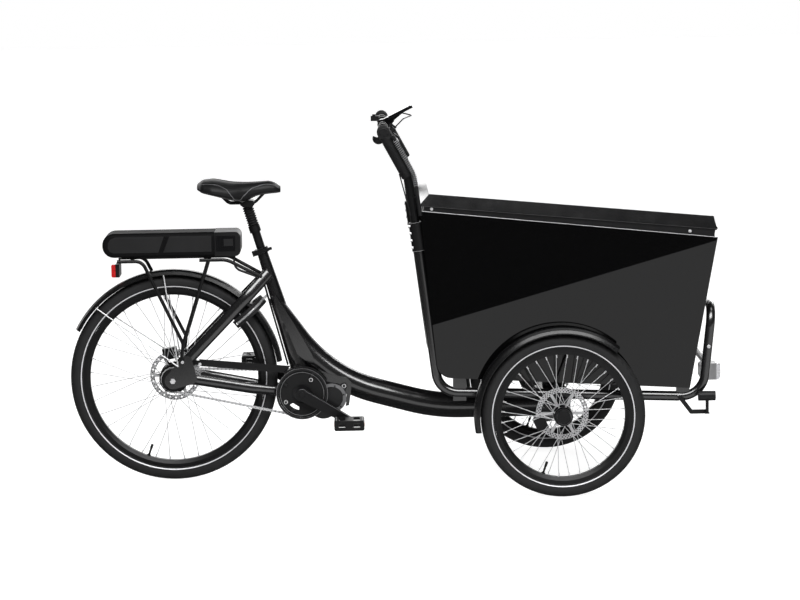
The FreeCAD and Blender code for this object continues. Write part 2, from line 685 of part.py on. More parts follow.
def brake_rotor(name, spot, side):
    """A drilled brake ring on arms, its inner face at the given place."""
    body = add("PartDesign::Body", name)
    ring_inner = s.rotor_radius - s.rotor_ring_width
    ring = circle_sketch(body, f"{name}_ring", [(ZERO, s.rotor_radius), (ZERO, ring_inner)])
    padded_up(body, ring, s.rotor_thickness)
    half_arm = s.rotor_arm_width / 2
    arm_start = s.rotor_core_radius - half_arm
    arm_end = ring_inner + half_arm
    arm = outline_sketch(body, f"{name}_arm", [
        (arm_start, -half_arm), (arm_end, -half_arm),
        (arm_end, half_arm), (arm_start, half_arm)], "XY_Plane")
    repeat(body, padded_up(body, arm, s.rotor_thickness), arm, s.rotor_arm_count)
    core = circle_sketch(body, f"{name}_core", [(ZERO, s.rotor_core_radius), (ZERO, s.rotor_bore)])
    padded_up(body, core, s.rotor_thickness)
    middle = s.rotor_radius - s.rotor_ring_width / 2
    hole = circle_sketch(body, f"{name}_hole", [(middle, s.rotor_hole_radius)])
    pocket = body.newObject("PartDesign::Pocket", f"{name}_drill")
    pocket.Profile = hole
    pocket.Type = "ThroughAll"
    pocket.Reversed = True
    repeat(body, pocket, hole, s.rotor_hole_count)
    return place(body, spot, Rotation(Vector(1, 0, 0), -90 * side))


def rear_wheel():
    bore = s.axle_radius + s.run_clearance
    end = s.rear_hub_half
    low = s.rear_flange_offset
    high = s.rear_flange_offset + s.flange_thickness
    hub = turned("rear_hub_shell", [
        (bore, -end), (s.rear_hub_neck, -end), (s.rear_hub_neck, -high), (s.rear_flange_radius, -high),
        (s.rear_flange_radius, -low), (s.rear_hub_shell, -low), (s.rear_hub_shell, low),
        (s.rear_flange_radius, low), (s.rear_flange_radius, high), (s.rear_hub_neck, high),
        (s.rear_hub_neck, end), (bore, end)], rear_axle_spot, RIGHT)
    rotor = brake_rotor("rear_rotor", (rear_x, end, rear_z), LEFT)
    group("rear_hub", [hub, rotor])
    wheel_tyre("rear_tyre", s.rear_tyre_radius, rear_axle_spot)
    wheel_rim("rear_rim", s.rear_tyre_radius, rear_axle_spot)
    wheel_spokes("rear_spokes", s.rear_tyre_radius, s.rear_flange_radius, low + s.flange_thickness / 2,
                 rear_axle_spot)


def front_wheel(name, side):
    """A front wheel on a one-sided hub with a cap outside and a rotor inside."""
    spot = front_axle_spot(side)
    bore = s.stub_radius + s.run_clearance
    inner = -s.front_hub_inner
    outer = s.front_hub_outer
    low = s.front_flange_offset
    high = s.front_flange_offset + s.flange_thickness
    shell = turned(f"{name}_shell", [
        (bore, inner), (s.rotor_bore - s.seat_gap, inner), (s.rotor_bore - s.seat_gap, -high),
        (s.front_flange_radius, -high), (s.front_flange_radius, -low), (s.front_hub_shell, -low),
        (s.front_hub_shell, low), (s.front_flange_radius, low), (s.front_flange_radius, high),
        (s.hub_cap_radius, high), (s.hub_cap_radius, outer),
        (s.hub_cap_radius - s.hub_cap_round, outer + s.hub_cap_length),
        (ZERO, outer + s.hub_cap_length), (ZERO, outer), (bore, outer)], spot, side)
    rotor = brake_rotor(f"{name}_rotor", (spot[0], spot[1] - s.front_rotor_inset * side, spot[2]), side)
    group(f"{name}_hub", [shell, rotor])
    wheel_tyre(f"{name}_tyre", s.front_tyre_radius, spot)
    wheel_rim(f"{name}_rim", s.front_tyre_radius, spot)
    wheel_spokes(f"{name}_spokes", s.front_tyre_radius, s.front_flange_radius, low + s.flange_thickness / 2,
                 spot)


rear_wheel()
for side_name, side_sign in SIDES.items():
    front_wheel(f"front_{side_name}", side_sign)


# Main frame

main_z = front_z - s.main_tube_drop


def main_frame():
    start = (crank_x - s.main_start_back, ZERO, crank_z + s.main_start_rise)
    span = kingpin_x - crank_x
    spots = [start, (crank_x + s.main_bend_ahead, ZERO, crank_z + s.main_bend_rise),
             (kingpin_x - span * s.main_level_share, ZERO, main_z), (kingpin_x, ZERO, main_z)]
    bends = [span * s.main_bend_share, span * s.main_sweep_share]
    sweep = tube("main_tube_sweep", spots, bends, s.main_tube_radius)
    wide = s.main_tube_radius + s.overrun
    low_end = seat_spot(s.seat_tube_bottom)
    wide_circle = (s.neck_length, ZERO, wide)
    neck_face = add("Part::Feature", "main_tube_neck_face")
    neck_face.Shape = Part.Face(hull_outline([
        (ZERO, ZERO, s.neck_radius), wide_circle, (s.wheelbase, ZERO, wide), wide_circle]))
    neck_face.Placement = FreeCAD.Placement(vector(low_end),
                                            SEAT_TURN.multiply(Rotation(Vector(1, 0, 0), -90)))
    neck = add("Part::Extrusion", "main_tube_neck")
    neck.Base = neck_face
    neck.DirMode = "Custom"
    neck.Dir = seat_axis
    neck.Solid = True
    bind(neck, LengthFwd=seat_tube_top, LengthRev=seat_tube_top)
    main_tube = common("main_tube", sweep, neck)

    seat_length = (seat_tube_top - s.seat_tube_bottom) / cosine(s.seat_lean)
    seat_tube = bind(add("Part::Cone", "seat_tube"), Radius1=s.seat_tube_bottom_radius,
                     Radius2=s.seat_tube_top_radius, Height=seat_length)
    place(seat_tube, low_end, SEAT_TURN)
    head_low = front_z - s.head_bottom_drop
    head_length = s.head_bottom_drop + s.head_top_rise
    head_tube = cylinder("head_tube", s.head_radius, head_length, (kingpin_x, ZERO, head_low), "z")

    lobe_x = crank_x + s.motor_reach
    lobe_z = crank_z - s.motor_drop
    corners = [(lobe_x + s.motor_radius * x_share, lobe_z + s.motor_radius * z_share)
               for x_share, z_share in BRACKET_SHARES]
    plate_middle = s.bracket_gap + s.bracket_thickness / 2
    plates = [slab(f"motor_bracket_{side_name}", corners, s.bracket_thickness, plate_middle * side_sign)
              for side_name, side_sign in SIDES.items()]
    solid = fuse("main_frame_solid", [main_tube, seat_tube, head_tube] + plates)

    depth = s.seat_bore_depth
    bores = [
        seat_cylinder("seat_bore", s.post_radius + s.run_clearance, along_seat(seat_tube_top, -depth),
                      depth + s.overrun),
        cylinder("head_bore", s.kingpin_radius + s.run_clearance, head_length + s.overrun * 2,
                 (kingpin_x, ZERO, head_low - s.overrun), "z"),
    ]
    return cut("main_frame", solid, fuse("main_frame_bores", bores))


# Outline of a motor bracket plate round the motor's cover, in shares of the cover's radius from its centre
BRACKET_SHARES = (
    (-0.98, 1.9), (-0.59, 1.76), (1.04, 1.39), (1.37, 1.04), (1.3, 0.28), (1.17, -0.54), (0.93, -0.59),
    (1.06, 0.13), (0.83, 0.7), (0.46, 0.98), (-0.15, 1.09), (-0.76, 1.33),
)
frame = main_frame()


def rear_triangle():
    """Stays and dropouts of both sides, joined behind the crank by a yoke."""
    middle = s.dropout_gap + s.dropout_thickness / 2
    low = (rear_x + s.seat_stay_reach, -s.seat_stay_spread, rear_z + s.seat_stay_rise)
    top = seat_spot(seat_stay_top, -s.seat_stay_top_spread)
    knee = (low[0] + (top[0] - low[0]) * s.seat_stay_mid_share, -s.seat_stay_mid_spread,
            low[2] + (top[2] - low[2]) * s.seat_stay_mid_share)
    seat_stay = oval_tube("seat_stay", [low, knee, top], [s.seat_stay_bend], s.stay_half_height,
                          s.stay_half_width)
    chain_spots = [
        (rear_x + s.chain_stay_reach, -s.chain_stay_spread, rear_z + s.chain_stay_lift),
        (crank_x - s.chain_stay_mid_back, -s.chain_stay_mid_spread, crank_z + s.chain_stay_mid_rise),
        (crank_x - s.chain_stay_end_back, -s.chain_stay_end_spread, crank_z + s.chain_stay_end_rise),
    ]
    chain_stay = oval_tube("chain_stay", chain_spots, [s.chain_stay_bend], s.chain_stay_half_height,
                           s.stay_half_width)
    dropout = hull_plate("dropout", [
        (rear_x, rear_z, s.dropout_eye),
        (rear_x + s.chain_stay_reach + s.dropout_arm, rear_z + s.chain_stay_lift, s.dropout_arm),
        (low[0], low[2], s.dropout_arm)], s.dropout_thickness, -middle)
    right = fuse("stays_right", [seat_stay, chain_stay, dropout])
    left = mirrored("stays_left", right)
    back = s.chain_stay_end_back
    yoke = slab("stay_yoke", [
        (crank_x - back * x_share, crank_z + back * z_share) for x_share, z_share in YOKE_SHARES],
        s.yoke_half_width * 2)
    axle_hole = cross_cylinder("dropout_holes", s.axle_radius + s.run_clearance, rear_x, rear_z,
                               -middle - s.overrun, middle + s.overrun)
    whole = fuse("stays_whole", [right, left, yoke])
    return cut("rear_triangle", whole, group("stays_trim", [frame, axle_hole]))


# Outline of the yoke behind the crank, in shares of the chain stays' end distance
YOKE_SHARES = ((1.18, -0.12), (0.82, -0.12), (0.82, 0.65), (0.45, 0.96), (0.55, 1.35), (0.94, 1.35))
stays = rear_triangle()


# Drive

HALF_TURN = ZERO + 180
chain_y = -s.chain_offset


def pitch_radius(teeth):
    """The radius of a chain wheel at its chain."""
    return s.chain_pitch / (sine(HALF_TURN / teeth) * 2)


ring_pitch = pitch_radius(s.ring_teeth)
cog_pitch = pitch_radius(s.cog_teeth)
half_chain = s.chain_height / 2
half_sprocket = s.sprocket_thickness / 2


def spot_around(x, z, angle, radius):
    """A place in the XZ plane at an angle up from +X."""
    return x + radius * cosine(angle), z + radius * sine(angle)


def radial_bar(name, x, z, angle, inner, outer, width, y_low, y_high):
    """A flat bar that points away from a cross axis."""
    bar = bind(add("Part::Box", name), Length=outer - inner, Width=y_high - y_low, Height=width)
    near_x, near_z = spot_around(x, z, angle, inner)
    corner = (near_x + sine(angle) * width / 2, y_low, near_z - cosine(angle) * width / 2)
    return place(bar, corner, Rotation(Vector(0, 1, 0), -angle.value))


def even_angles(count, first):
    """Evenly spread angles, starting from one."""
    number = round(count.value)
    return [first + HALF_TURN * 2 * index / count for index in range(number)]


def ring_disc(name, x, z, outer, inner, y_low, y_high):
    disc = cross_cylinder(f"{name}_disc", outer, x, z, y_low, y_high)
    hole = cross_cylinder(f"{name}_hole", inner, x, z, y_low - s.overrun, y_high + s.overrun)
    return cut(name, disc, hole)


def chain_loop():
    """The closed chain round both wheels, as one band of links."""
    def band(name, grow):
        return hull_plate(name, [(rear_x, rear_z, cog_pitch + grow), (crank_x, crank_z, ring_pitch + grow)],
                          s.chain_width, chain_y)
    return cut("chain", band("chain_outside", half_chain), band("chain_inside", -half_chain))


def rear_sprocket():
    tip = cog_pitch - half_chain - s.chain_clearance
    disc = cross_cylinder("cog_disc", tip, rear_x, rear_z, chain_y - half_sprocket, chain_y + half_sprocket)
    half_boss = s.cog_boss_length / 2
    boss = cross_cylinder("cog_boss_bar", s.cog_boss, rear_x, rear_z, chain_y - half_boss,
                          chain_y + half_boss)
    bore = cross_cylinder("cog_bore", s.axle_radius + s.run_clearance, rear_x, rear_z,
                          chain_y - half_boss - s.overrun, chain_y + half_boss + s.overrun)
    return cut("rear_sprocket", fuse("cog_solid", [disc, boss]), bore)


def chainring():
    """The toothed ring on its spider, with the guard ring outside it on posts."""
    tip = ring_pitch - half_chain - s.chain_clearance
    inside = tip - s.ring_web
    y_low = chain_y - half_sprocket
    y_high = chain_y + half_sprocket
    toothed = ring_disc("ring_toothed", crank_x, crank_z, tip, inside, y_low, y_high)
    bore = s.spindle_radius + s.run_clearance
    centre = ring_disc("ring_centre", crank_x, crank_z, s.spider_radius, bore, y_low, y_high)
    arm_end = inside + s.ring_web / 2
    arm_start = s.spider_radius - s.spider_arm_width / 2
    arms = [radial_bar(f"spider_arm_{index}", crank_x, crank_z, angle, arm_start, arm_end,
                       s.spider_arm_width, y_low, y_high)
            for index, angle in enumerate(even_angles(s.spider_arm_count, -s.crank_angle))]
    guard_low = -s.guard_ring_offset - s.guard_ring_thickness / 2
    guard_high = guard_low + s.guard_ring_thickness
    guard_inside = s.guard_ring_radius - s.guard_ring_width
    guard = ring_disc("guard_ring", crank_x, crank_z, s.guard_ring_radius, guard_inside, guard_low,
                      guard_high)
    tabs = []
    for index, angle in enumerate(even_angles(s.guard_tab_count, -s.crank_angle)):
        tab_end = guard_inside + s.guard_ring_width / 2
        tabs.append(radial_bar(f"guard_tab_{index}", crank_x, crank_z, angle, inside, tab_end,
                               s.guard_tab_width,
                               guard_low, guard_high))
        post_x, post_z = spot_around(crank_x, crank_z, angle, arm_end)
        tabs.append(cross_cylinder(f"guard_post_{index}", s.guard_tab_width / 2, post_x, post_z, guard_low,
                                   y_high))
    return fuse("chainring", [toothed, centre, guard] + arms + tabs)


def crank_end(side):
    """Where a crank arm holds its pedal."""
    angle = -s.crank_angle if side == RIGHT else HALF_TURN - s.crank_angle
    return spot_around(crank_x, crank_z, angle, s.crank_length)


def crank_set():
    outer = s.crank_inner + s.crank_thickness
    pieces = [cross_cylinder("crank_spindle", s.spindle_radius, crank_x, crank_z, -outer, outer)]
    middle = s.crank_inner + s.crank_thickness / 2
    for name, side in SIDES.items():
        tip_x, tip_z = crank_end(side)
        pieces.append(hull_plate(f"crank_arm_{name}", [
            (crank_x, crank_z, s.crank_boss), (tip_x, tip_z, s.crank_tip)],
            s.crank_thickness, middle * side))
        near = outer - s.crank_thickness / 2
        far = outer + s.pedal_gap + s.pedal_width - s.pedal_end_wall
        low, high = (-far, -near) if side == RIGHT else (near, far)
        pieces.append(cross_cylinder(f"pedal_spindle_{name}", s.pedal_spindle, tip_x, tip_z, low, high))
    return fuse("crank_set", pieces)


def pedal(name, side):
    """A pedal frame with two windows beside its core."""
    x, z = crank_end(side)
    near = s.crank_inner + s.crank_thickness + s.pedal_gap
    far = near + s.pedal_width
    middle = (near + far) / 2 * side
    half_length = s.pedal_length / 2
    half_height = s.pedal_height / 2
    body = slab(f"{name}_body", [
        (x - half_length, z - half_height), (x + half_length, z - half_height),
        (x + half_length, z + half_height), (x - half_length, z + half_height)], s.pedal_width, middle)
    rounded(body, s.pedal_round, is_cross)
    window_start = s.pedal_core
    window_end = half_length - s.pedal_end_wall
    half_window = s.pedal_width / 2 - s.pedal_end_wall
    half_side_window = half_height - s.pedal_side_bar
    tools = []
    for end, start_x in (("rear", x - window_end), ("front", x + window_start)):
        end_x = start_x + window_end - window_start
        tools.append(block(f"{name}_window_{end}", (start_x, middle - half_window, z - s.pedal_height),
                           (end_x, middle + half_window, z + s.pedal_height)))
        tools.append(block(f"{name}_side_window_{end}",
                           (start_x, middle - s.pedal_width, z - half_side_window),
                           (end_x, middle + s.pedal_width, z + half_side_window)))
    bore_end = (far - s.pedal_end_wall + s.pedal_spindle) * side
    bore_start = (near - s.overrun) * side
    low, high = (bore_end, bore_start) if side == RIGHT else (bore_start, bore_end)
    tools.append(cross_cylinder(f"{name}_bore", s.pedal_spindle + s.run_clearance, x, z, low, high))
    return cut(name, body, fuse(f"{name}_cuts", tools))


def motor_casing():
    """The casing round the crank and the motor, with a round cover on its right side."""
    motor_x = crank_x + s.motor_reach
    motor_z = crank_z - s.motor_drop
    shell = hull_plate("motor_shell", [
        (crank_x, crank_z, s.motor_shell_radius),
        (crank_x + s.belly_reach, crank_z - s.belly_drop, s.motor_radius),
        (motor_x, motor_z, s.motor_radius)], s.motor_half_width * 2, ZERO)
    face = -s.motor_half_width - s.motor_cover_depth
    cover = cross_cylinder("motor_cover", s.motor_radius, motor_x, motor_z, face,
                           -s.motor_half_width + s.motor_cover_recess)
    recess = cross_cylinder("motor_recess", s.motor_radius - s.motor_cover_ring, motor_x, motor_z,
                            face - s.overrun, face + s.motor_cover_recess)
    bore = cross_cylinder("motor_bore", s.spindle_radius + s.run_clearance, crank_x, crank_z,
                          -s.motor_half_width - s.overrun, s.motor_half_width + s.overrun)
    return cut("motor_casing", fuse("motor_solid", [shell, cover]),
               group("motor_cuts", [recess, bore, frame, stays]))


def chain_guard():
    """A bar above the chain and a hood over the chainring."""
    half = s.guard_height / 2
    rear_guard_x = rear_x + s.guard_rear_reach
    rear_guard_z = rear_z + s.guard_rear_rise
    front_guard_x = crank_x - s.guard_front_back
    front_guard_z = crank_z + s.guard_front_rise
    slant = half * s.guard_end_share
    bar = slab("guard_bar", [
        (rear_guard_x, rear_guard_z - half), (front_guard_x - slant, front_guard_z - half),
        (front_guard_x + slant, front_guard_z + half), (rear_guard_x, rear_guard_z + half)],
        s.guard_thickness, -s.guard_offset)
    inner = s.guard_ring_radius + s.hood_gap
    outer = inner + s.hood_thickness
    half_hood = s.hood_depth / 2
    hood = turned("guard_hood",
                  [(inner, -half_hood), (outer, -half_hood), (outer, half_hood), (inner, half_hood)],
                  (crank_x, -s.guard_ring_offset,
                   crank_z), RIGHT, s.hood_start_angle, s.hood_end_angle - s.hood_start_angle)
    half_tab = s.guard_tab_height / 2
    half_plate = s.guard_thickness / 2
    tongue = block("guard_tongue",
                   (rear_guard_x - s.guard_tab_length, -s.guard_offset - half_plate,
                    rear_guard_z - half_tab),
                   (rear_guard_x + half_tab, -s.guard_offset + half_plate, rear_guard_z + half_tab))
    return cut("chain_guard", fuse("guard_solid", [bar, hood, tongue]), stays)


def rear_axle():
    """The fixed axle with its nuts and the cover over the sprocket's outer side."""
    bar = cross_cylinder("axle_bar", s.axle_radius, rear_x, rear_z, -s.axle_half_length, s.axle_half_length)
    nut_face = s.dropout_gap + s.dropout_thickness
    pieces = [bar]
    for name, low, high in (("right", -nut_face - s.axle_nut_length, -nut_face),
                            ("left", nut_face, nut_face + s.axle_nut_length)):
        nut = bind(add("Part::Prism", f"axle_nut_{name}"), Circumradius=s.axle_nut_radius,
                   Height=high - low)
        nut.Polygon = 6
        pieces.append(place(nut, (rear_x, low, rear_z), AXIS_TURNS["y"]))
    round_start = s.hub_cover_outer - s.hub_cover_round
    cover = turned("hub_cover", [
        (ZERO, s.hub_cover_inner), (s.hub_cover_radius, s.hub_cover_inner),
        (s.hub_cover_radius, round_start), (s.hub_cover_radius - s.hub_cover_round, s.hub_cover_outer),
        (ZERO, s.hub_cover_outer)], rear_axle_spot, RIGHT)
    return fuse("rear_axle", pieces + [cover])


chain_loop()
rear_sprocket()
chainring()
crank_set()
for side_name, side_sign in SIDES.items():
    pedal(f"pedal_{side_name}", side_sign)
casing = motor_casing()
chain_guard()
axle = rear_axle()


# Seat

def seat_local(rise, ahead, y, up):
    """A place given in the seat tube's own directions, from a height on its axis."""
    x, _, z = seat_spot(rise)
    lean_cos = cosine(s.seat_lean)
    lean_sin = sine(s.seat_lean)
    return x + ahead * lean_cos - up * lean_sin, y, z + ahead * lean_sin + up * lean_cos


def seat_block(name, rise, low, high):
    """A box in the seat tube's own directions, between two corners."""
    box = bind(add("Part::Box", name), Length=high[0] - low[0], Width=high[1] - low[1],
               Height=high[2] - low[2])
    return place(box, seat_local(rise, *low), SEAT_TURN)


def seat_pin(name, radius, rise, ahead, y, low, high):
    """A round bar beside the seat tube and parallel to it."""
    bar = bind(add("Part::Cylinder", name), Radius=radius, Height=high - low)
    return place(bar, seat_local(rise, ahead, y, low), SEAT_TURN)


collar_rise = along_seat(seat_tube_top, -s.collar_height)
collar_radius = s.seat_tube_top_radius + s.collar_wall
lever_low = (s.collar_height - s.lever_height) / 2
lever_high = lever_low + s.lever_height
lever_y = -collar_radius - s.lever_gap - s.lever_thickness / 2
lever_pivot = -s.lever_length * s.lever_pivot_share


def seat_clamp():
    """A collar with a fork that holds the lever's pin."""
    collar = seat_cylinder("clamp_collar", collar_radius, collar_rise, s.collar_height)
    ear = s.lever_thickness
    pieces = [collar,
              seat_pin("clamp_pin", s.lever_pin_radius, collar_rise, lever_pivot, lever_y, ZERO,
                       s.collar_height)]
    for name, low, high in (("low", ZERO, lever_low - s.lever_gap),
                            ("high", lever_high + s.lever_gap, s.collar_height)):
        pieces.append(seat_block(f"clamp_ear_{name}", collar_rise, (lever_pivot - ear, lever_y - ear, low),
                                 (ear, -s.seat_tube_top_radius, high)))
    bore = seat_cylinder("clamp_bore", s.post_radius + s.run_clearance, collar_rise,
                         s.collar_height + s.overrun)
    return cut("seat_clamp", fuse("clamp_solid", pieces), group("clamp_cuts", [frame, bore]))


def seat_lever():
    half = s.lever_thickness / 2
    blade = seat_block("lever_blade", collar_rise, (lever_pivot, lever_y - half, lever_low),
                       (lever_pivot + s.lever_length, lever_y + half, lever_high))
    boss = seat_pin("lever_boss", s.lever_thickness, collar_rise, lever_pivot, lever_y, lever_low,
                    lever_high)
    bore = seat_pin("lever_bore", s.lever_pin_radius + s.run_clearance, collar_rise, lever_pivot, lever_y,
                    -s.overrun, s.collar_height + s.overrun)
    return cut("seat_lever", fuse("lever_solid", [blade, boss]), bore)




def seat_post():
    """A post with a collar at its top and a bore for the sprung plunger."""
    bar = seat_cylinder("post_bar", s.post_radius, along_seat(seat_tube_top, -s.post_insert),
                        s.post_insert + s.post_top)
    collar = seat_cylinder("post_collar", s.post_collar_radius,
                           along_seat(post_top_rise, -s.post_collar_height),
                           s.post_collar_height)
    bore = seat_cylinder("post_bore", s.plunger_radius + s.run_clearance,
                         along_seat(post_top_rise, -s.plunger_bore_depth),
                         s.plunger_bore_depth + s.overrun)
    return cut("seat_post", fuse("post_solid", [bar, collar]), bore)


def seat_boot():
    """A ribbed rubber boot round the plunger."""
    inner = s.plunger_radius + s.boot_gap
    valley = inner + s.boot_wall
    crest = valley + s.rib_depth
    count = round(s.rib_count.value)
    pitch = s.boot_height / s.rib_count
    corners = [(inner, s.boot_height), (inner, ZERO), (valley, ZERO)]
    for number in range(count):
        corners.append((crest, pitch * (number + 0.5)))
        corners.append((valley, pitch * (number + 1)))
    return spun("seat_boot", corners, seat_spot(post_top_rise), SEAT_TURN)


def half_oval(centre, half_width, height):
    """Half an oval across the saddle, from its right edge to its left edge over a crown or under a belly."""
    edge = Vector(0, half_width, 0)
    crown = centre + Vector(0, 0, height)
    if half_width > abs(height):
        oval = Part.Ellipse(centre + edge, crown, centre)
    else:
        oval = Part.Ellipse(crown, centre + edge, centre)
    first = oval.parameter(centre - edge)
    last = oval.parameter(centre + edge)
    middle = oval.parameter(crown)
    low, high = sorted((first, last))
    if low < middle < high:
        return oval.toShape(low, high)
    return oval.toShape(high, low + 2 * math.pi)


# Cross sections of the saddle from its rear to its nose: how far along it, its half width, its crown, its widest
# place and its underside, as shares of the saddle's length, width and height
SADDLE_SHARES = (
    (0, 0.2, 0.72, 0.6, 0.46), (0.05, 0.41, 0.92, 0.52, 0.3), (0.19, 0.5, 0.98, 0.42, 0.16),
    (0.42, 0.43, 0.8, 0.26, -0.13), (0.57, 0.32, 0.78, 0.28, -0.2), (0.72, 0.24, 0.8, 0.38, 0.1),
    (0.87, 0.2, 0.84, 0.44, 0.18), (0.96, 0.165, 0.68, 0.44, 0.2), (1, 0.1, 0.5, 0.38, 0.24),
)


def saddle():
    sections = []
    for number, (along, width, crown, edge, belly) in enumerate(SADDLE_SHARES):
        x = plain(rear_x + s.saddle_rear + s.saddle_length * along)
        height = s.saddle_height.value
        edge_z = saddle_base.value + height * edge
        centre = Vector(x, 0, edge_z)
        half_width = s.saddle_width.value * width
        section = add("Part::Feature", f"saddle_section_{number}")
        section.Shape = Part.Wire([half_oval(centre, half_width, height * (crown - edge)),
                                   half_oval(centre, half_width, height * (belly - edge))])
        sections.append(section)
    skin = add("Part::Loft", "saddle")
    skin.Sections = sections
    skin.Solid = True
    return skin


def saddle_rails(trim):
    """The plunger with its head, which grips two rails under the saddle."""
    plunger = seat_cylinder("plunger", s.plunger_radius, along_seat(post_top_rise, -s.plunger_insert),
                            s.plunger_insert + s.boot_height + s.seat_head_height / 2)
    x, _, z = seat_spot(head_rise)
    half_length = s.seat_head_length / 2
    half_width = s.seat_head_width / 2
    head = slab("seat_head", [
        (x - half_length * ahead,
         z + s.seat_head_height * up) for ahead, up in SEAT_HEAD_SHARES], half_width * 2)
    pieces = [plunger, head]
    rail_z = z + s.seat_head_height * s.rail_height_share
    rear_end = x - s.rail_length * s.rail_back_share
    front_end = rear_end + s.rail_length
    for name, side in SIDES.items():
        y = s.rail_spread * side
        pieces.append(tube(f"saddle_rail_{name}", [
            (rear_end - s.rail_rise, y, rail_z + s.rail_rise), (rear_end, y, rail_z),
            (front_end, y, rail_z), (front_end + s.rail_rise, y, rail_z + s.rail_rise)],
            [s.rail_bend, s.rail_bend], s.rail_radius))
    return cut("saddle_rails", fuse("rails_solid", pieces), group("rail_trim", trim))


# Outline of the plunger's head, in shares of its half length and height
SEAT_HEAD_SHARES = ((0.62, 0), (1, 0.35), (1, 0.85), (0.8, 1), (-0.8, 1), (-1, 0.85), (-1, 0.35),
                    (-0.62, 0))

seat_clamp()
seat_lever()
seat_post()
saddle_rails([seat_boot(), saddle()])


# Carrier, battery and rear light

def rear_carrier():
    """A leg and a brace a side that bend into short level rails, cross bars, and stays to the seat stays."""
    half = s.carrier_half_width
    foot = (rear_x + s.carrier_foot_reach, -s.carrier_foot_half, rear_z + s.carrier_foot_rise)
    knee = (rear_x + s.carrier_knee_reach, -s.carrier_foot_half, rear_z + s.carrier_knee_rise)
    leg_top = (rear_x - s.carrier_rear, -half, carrier_height)
    tail = (rear_x - s.carrier_tail, -half, carrier_height)
    front_start = (rear_x + s.carrier_front_start, -half, carrier_height)
    front_top = (rear_x + s.carrier_front, -half, carrier_height)
    stay_top = seat_spot(seat_stay_top)
    stay_end = (stay_top[0] - s.carrier_stay_back, -s.carrier_stay_half, stay_top[2] - s.carrier_stay_drop)
    leg = tube("carrier_leg", [foot, knee, leg_top, tail], [s.carrier_bend, s.carrier_bend], s.carrier_tube)
    stay = tube("carrier_stay", [front_start, front_top, stay_end], [s.carrier_bend * 2], s.carrier_tube)
    brace_top = (rear_x + s.carrier_front_leg, -half, carrier_height)
    brace = rod("carrier_brace", knee, brace_top, s.carrier_tube)
    bolt = cross_cylinder("carrier_bolt", s.carrier_bolt, foot[0], foot[2],
                          -s.carrier_foot_half - s.carrier_tube, -s.dropout_gap - s.dropout_thickness)
    right = fuse("carrier_right", [leg, stay, brace, bolt])
    pieces = [right, mirrored("carrier_left", right)]
    for number, share in enumerate(CARRIER_BAR_SHARES):
        bar_x = tail[0] + (front_top[0] - tail[0]) * share
        pieces.append(cross_cylinder(f"carrier_bar_{number}", s.carrier_tube, bar_x, carrier_height, -half,
                                     half))
    return cut("rear_carrier", fuse("carrier_solid", pieces), group("carrier_trim", [stays, axle]))


# Places of the carrier's cross bars along its rails
CARRIER_BAR_SHARES = (0.13, 0.8)


def upright_box(name, x_low, x_high, z_low, z_high, half_width):
    return slab(name, [(x_low, z_low), (x_high, z_low), (x_high, z_high), (x_low, z_high)], half_width * 2)


def edge_at(x=None, z=None):
    """A test for the edges across the tricycle at a place."""
    def chosen(edge):
        middle = edge.CenterOfMass
        near_x = x is None or abs(middle.x - plain(x)) < s.seat_gap.value
        near_z = z is None or abs(middle.z - plain(z)) < s.seat_gap.value
        return is_cross(edge) and near_x and near_z
    return chosen


def battery():
    rear_end = rear_x - s.battery_rear
    front_end = rear_x + s.battery_front
    body = upright_box("battery_body", rear_end, front_end, battery_low, battery_high, s.battery_half_width)
    rounded(body, s.battery_rear_round, edge_at(x=rear_end))
    rounded(body, s.battery_edge_round,
            lambda edge: abs(edge.CenterOfMass.y) > s.battery_half_width.value - s.seat_gap.value
            and edge.CenterOfMass.x < front_end.value - s.seat_gap.value)
    seam_low = rear_x - s.seam_low_back
    seam_high = rear_x - s.seam_high_back
    corners = [(seam_low, battery_low - s.overrun), (seam_low + s.seam_width, battery_low - s.overrun),
               (seam_high + s.seam_width, battery_high + s.overrun), (seam_high, battery_high + s.overrun)]
    seams = [slab(f"battery_seam_{name}", corners, s.seam_width, s.battery_half_width * side)
             for name, side in SIDES.items()]
    return cut("battery", body, group("battery_seams", seams))


def battery_tray():
    """A plate on the carrier's bars, with the dock that the battery plugs into."""
    plate = block("tray_plate", (rear_x - s.tray_rear, -s.tray_half_width, tray_low),
                  (rear_x + s.dock_front - s.dock_round, s.tray_half_width, tray_high))
    dock = upright_box("dock_body", rear_x + s.battery_front + s.dock_gap, rear_x + s.dock_front, tray_high,
                       battery_high,
                       s.battery_half_width)
    rounded(dock, s.dock_round, edge_at(x=rear_x + s.dock_front))
    return fuse("battery_tray", [plate, dock])


def rear_light():
    """A lamp housing on an arm under the tray, with a lens behind it."""
    lens_front = rear_x - s.light_rear + s.lens_depth
    housing_front = lens_front + s.light_depth
    top = carrier_height - s.light_drop
    low = top - s.light_height
    lens = upright_box("light_lens", rear_x - s.light_rear, lens_front, low, top, s.light_half_width)
    rounded(lens, s.light_round, edge_at(x=rear_x - s.light_rear))
    shell = upright_box("light_shell", lens_front, housing_front, low, top, s.light_half_width)
    post = block("light_post", (housing_front - s.light_arm, -s.light_depth, low + s.light_round),
                 (housing_front, s.light_depth, tray_low))
    arm = block("light_arm_plate", (housing_front - s.light_arm, -s.light_depth, tray_low - s.light_arm),
                (rear_x - s.tray_rear + s.overrun, s.light_depth, tray_low))
    return group("rear_light", [lens, fuse("light_housing", [shell, post, arm])])


carrier = rear_carrier()
battery()
battery_tray()
rear_light()


# Rear mudguard, ring lock, brake and cables

# Half section of a mudguard: share of its half width, and share of the drop from its crown to its lip
FENDER_SHARES = ((-1, 1), (-0.8, 0.35), (-0.4, 0), (0.4, 0), (0.8, 0.35), (1, 1))


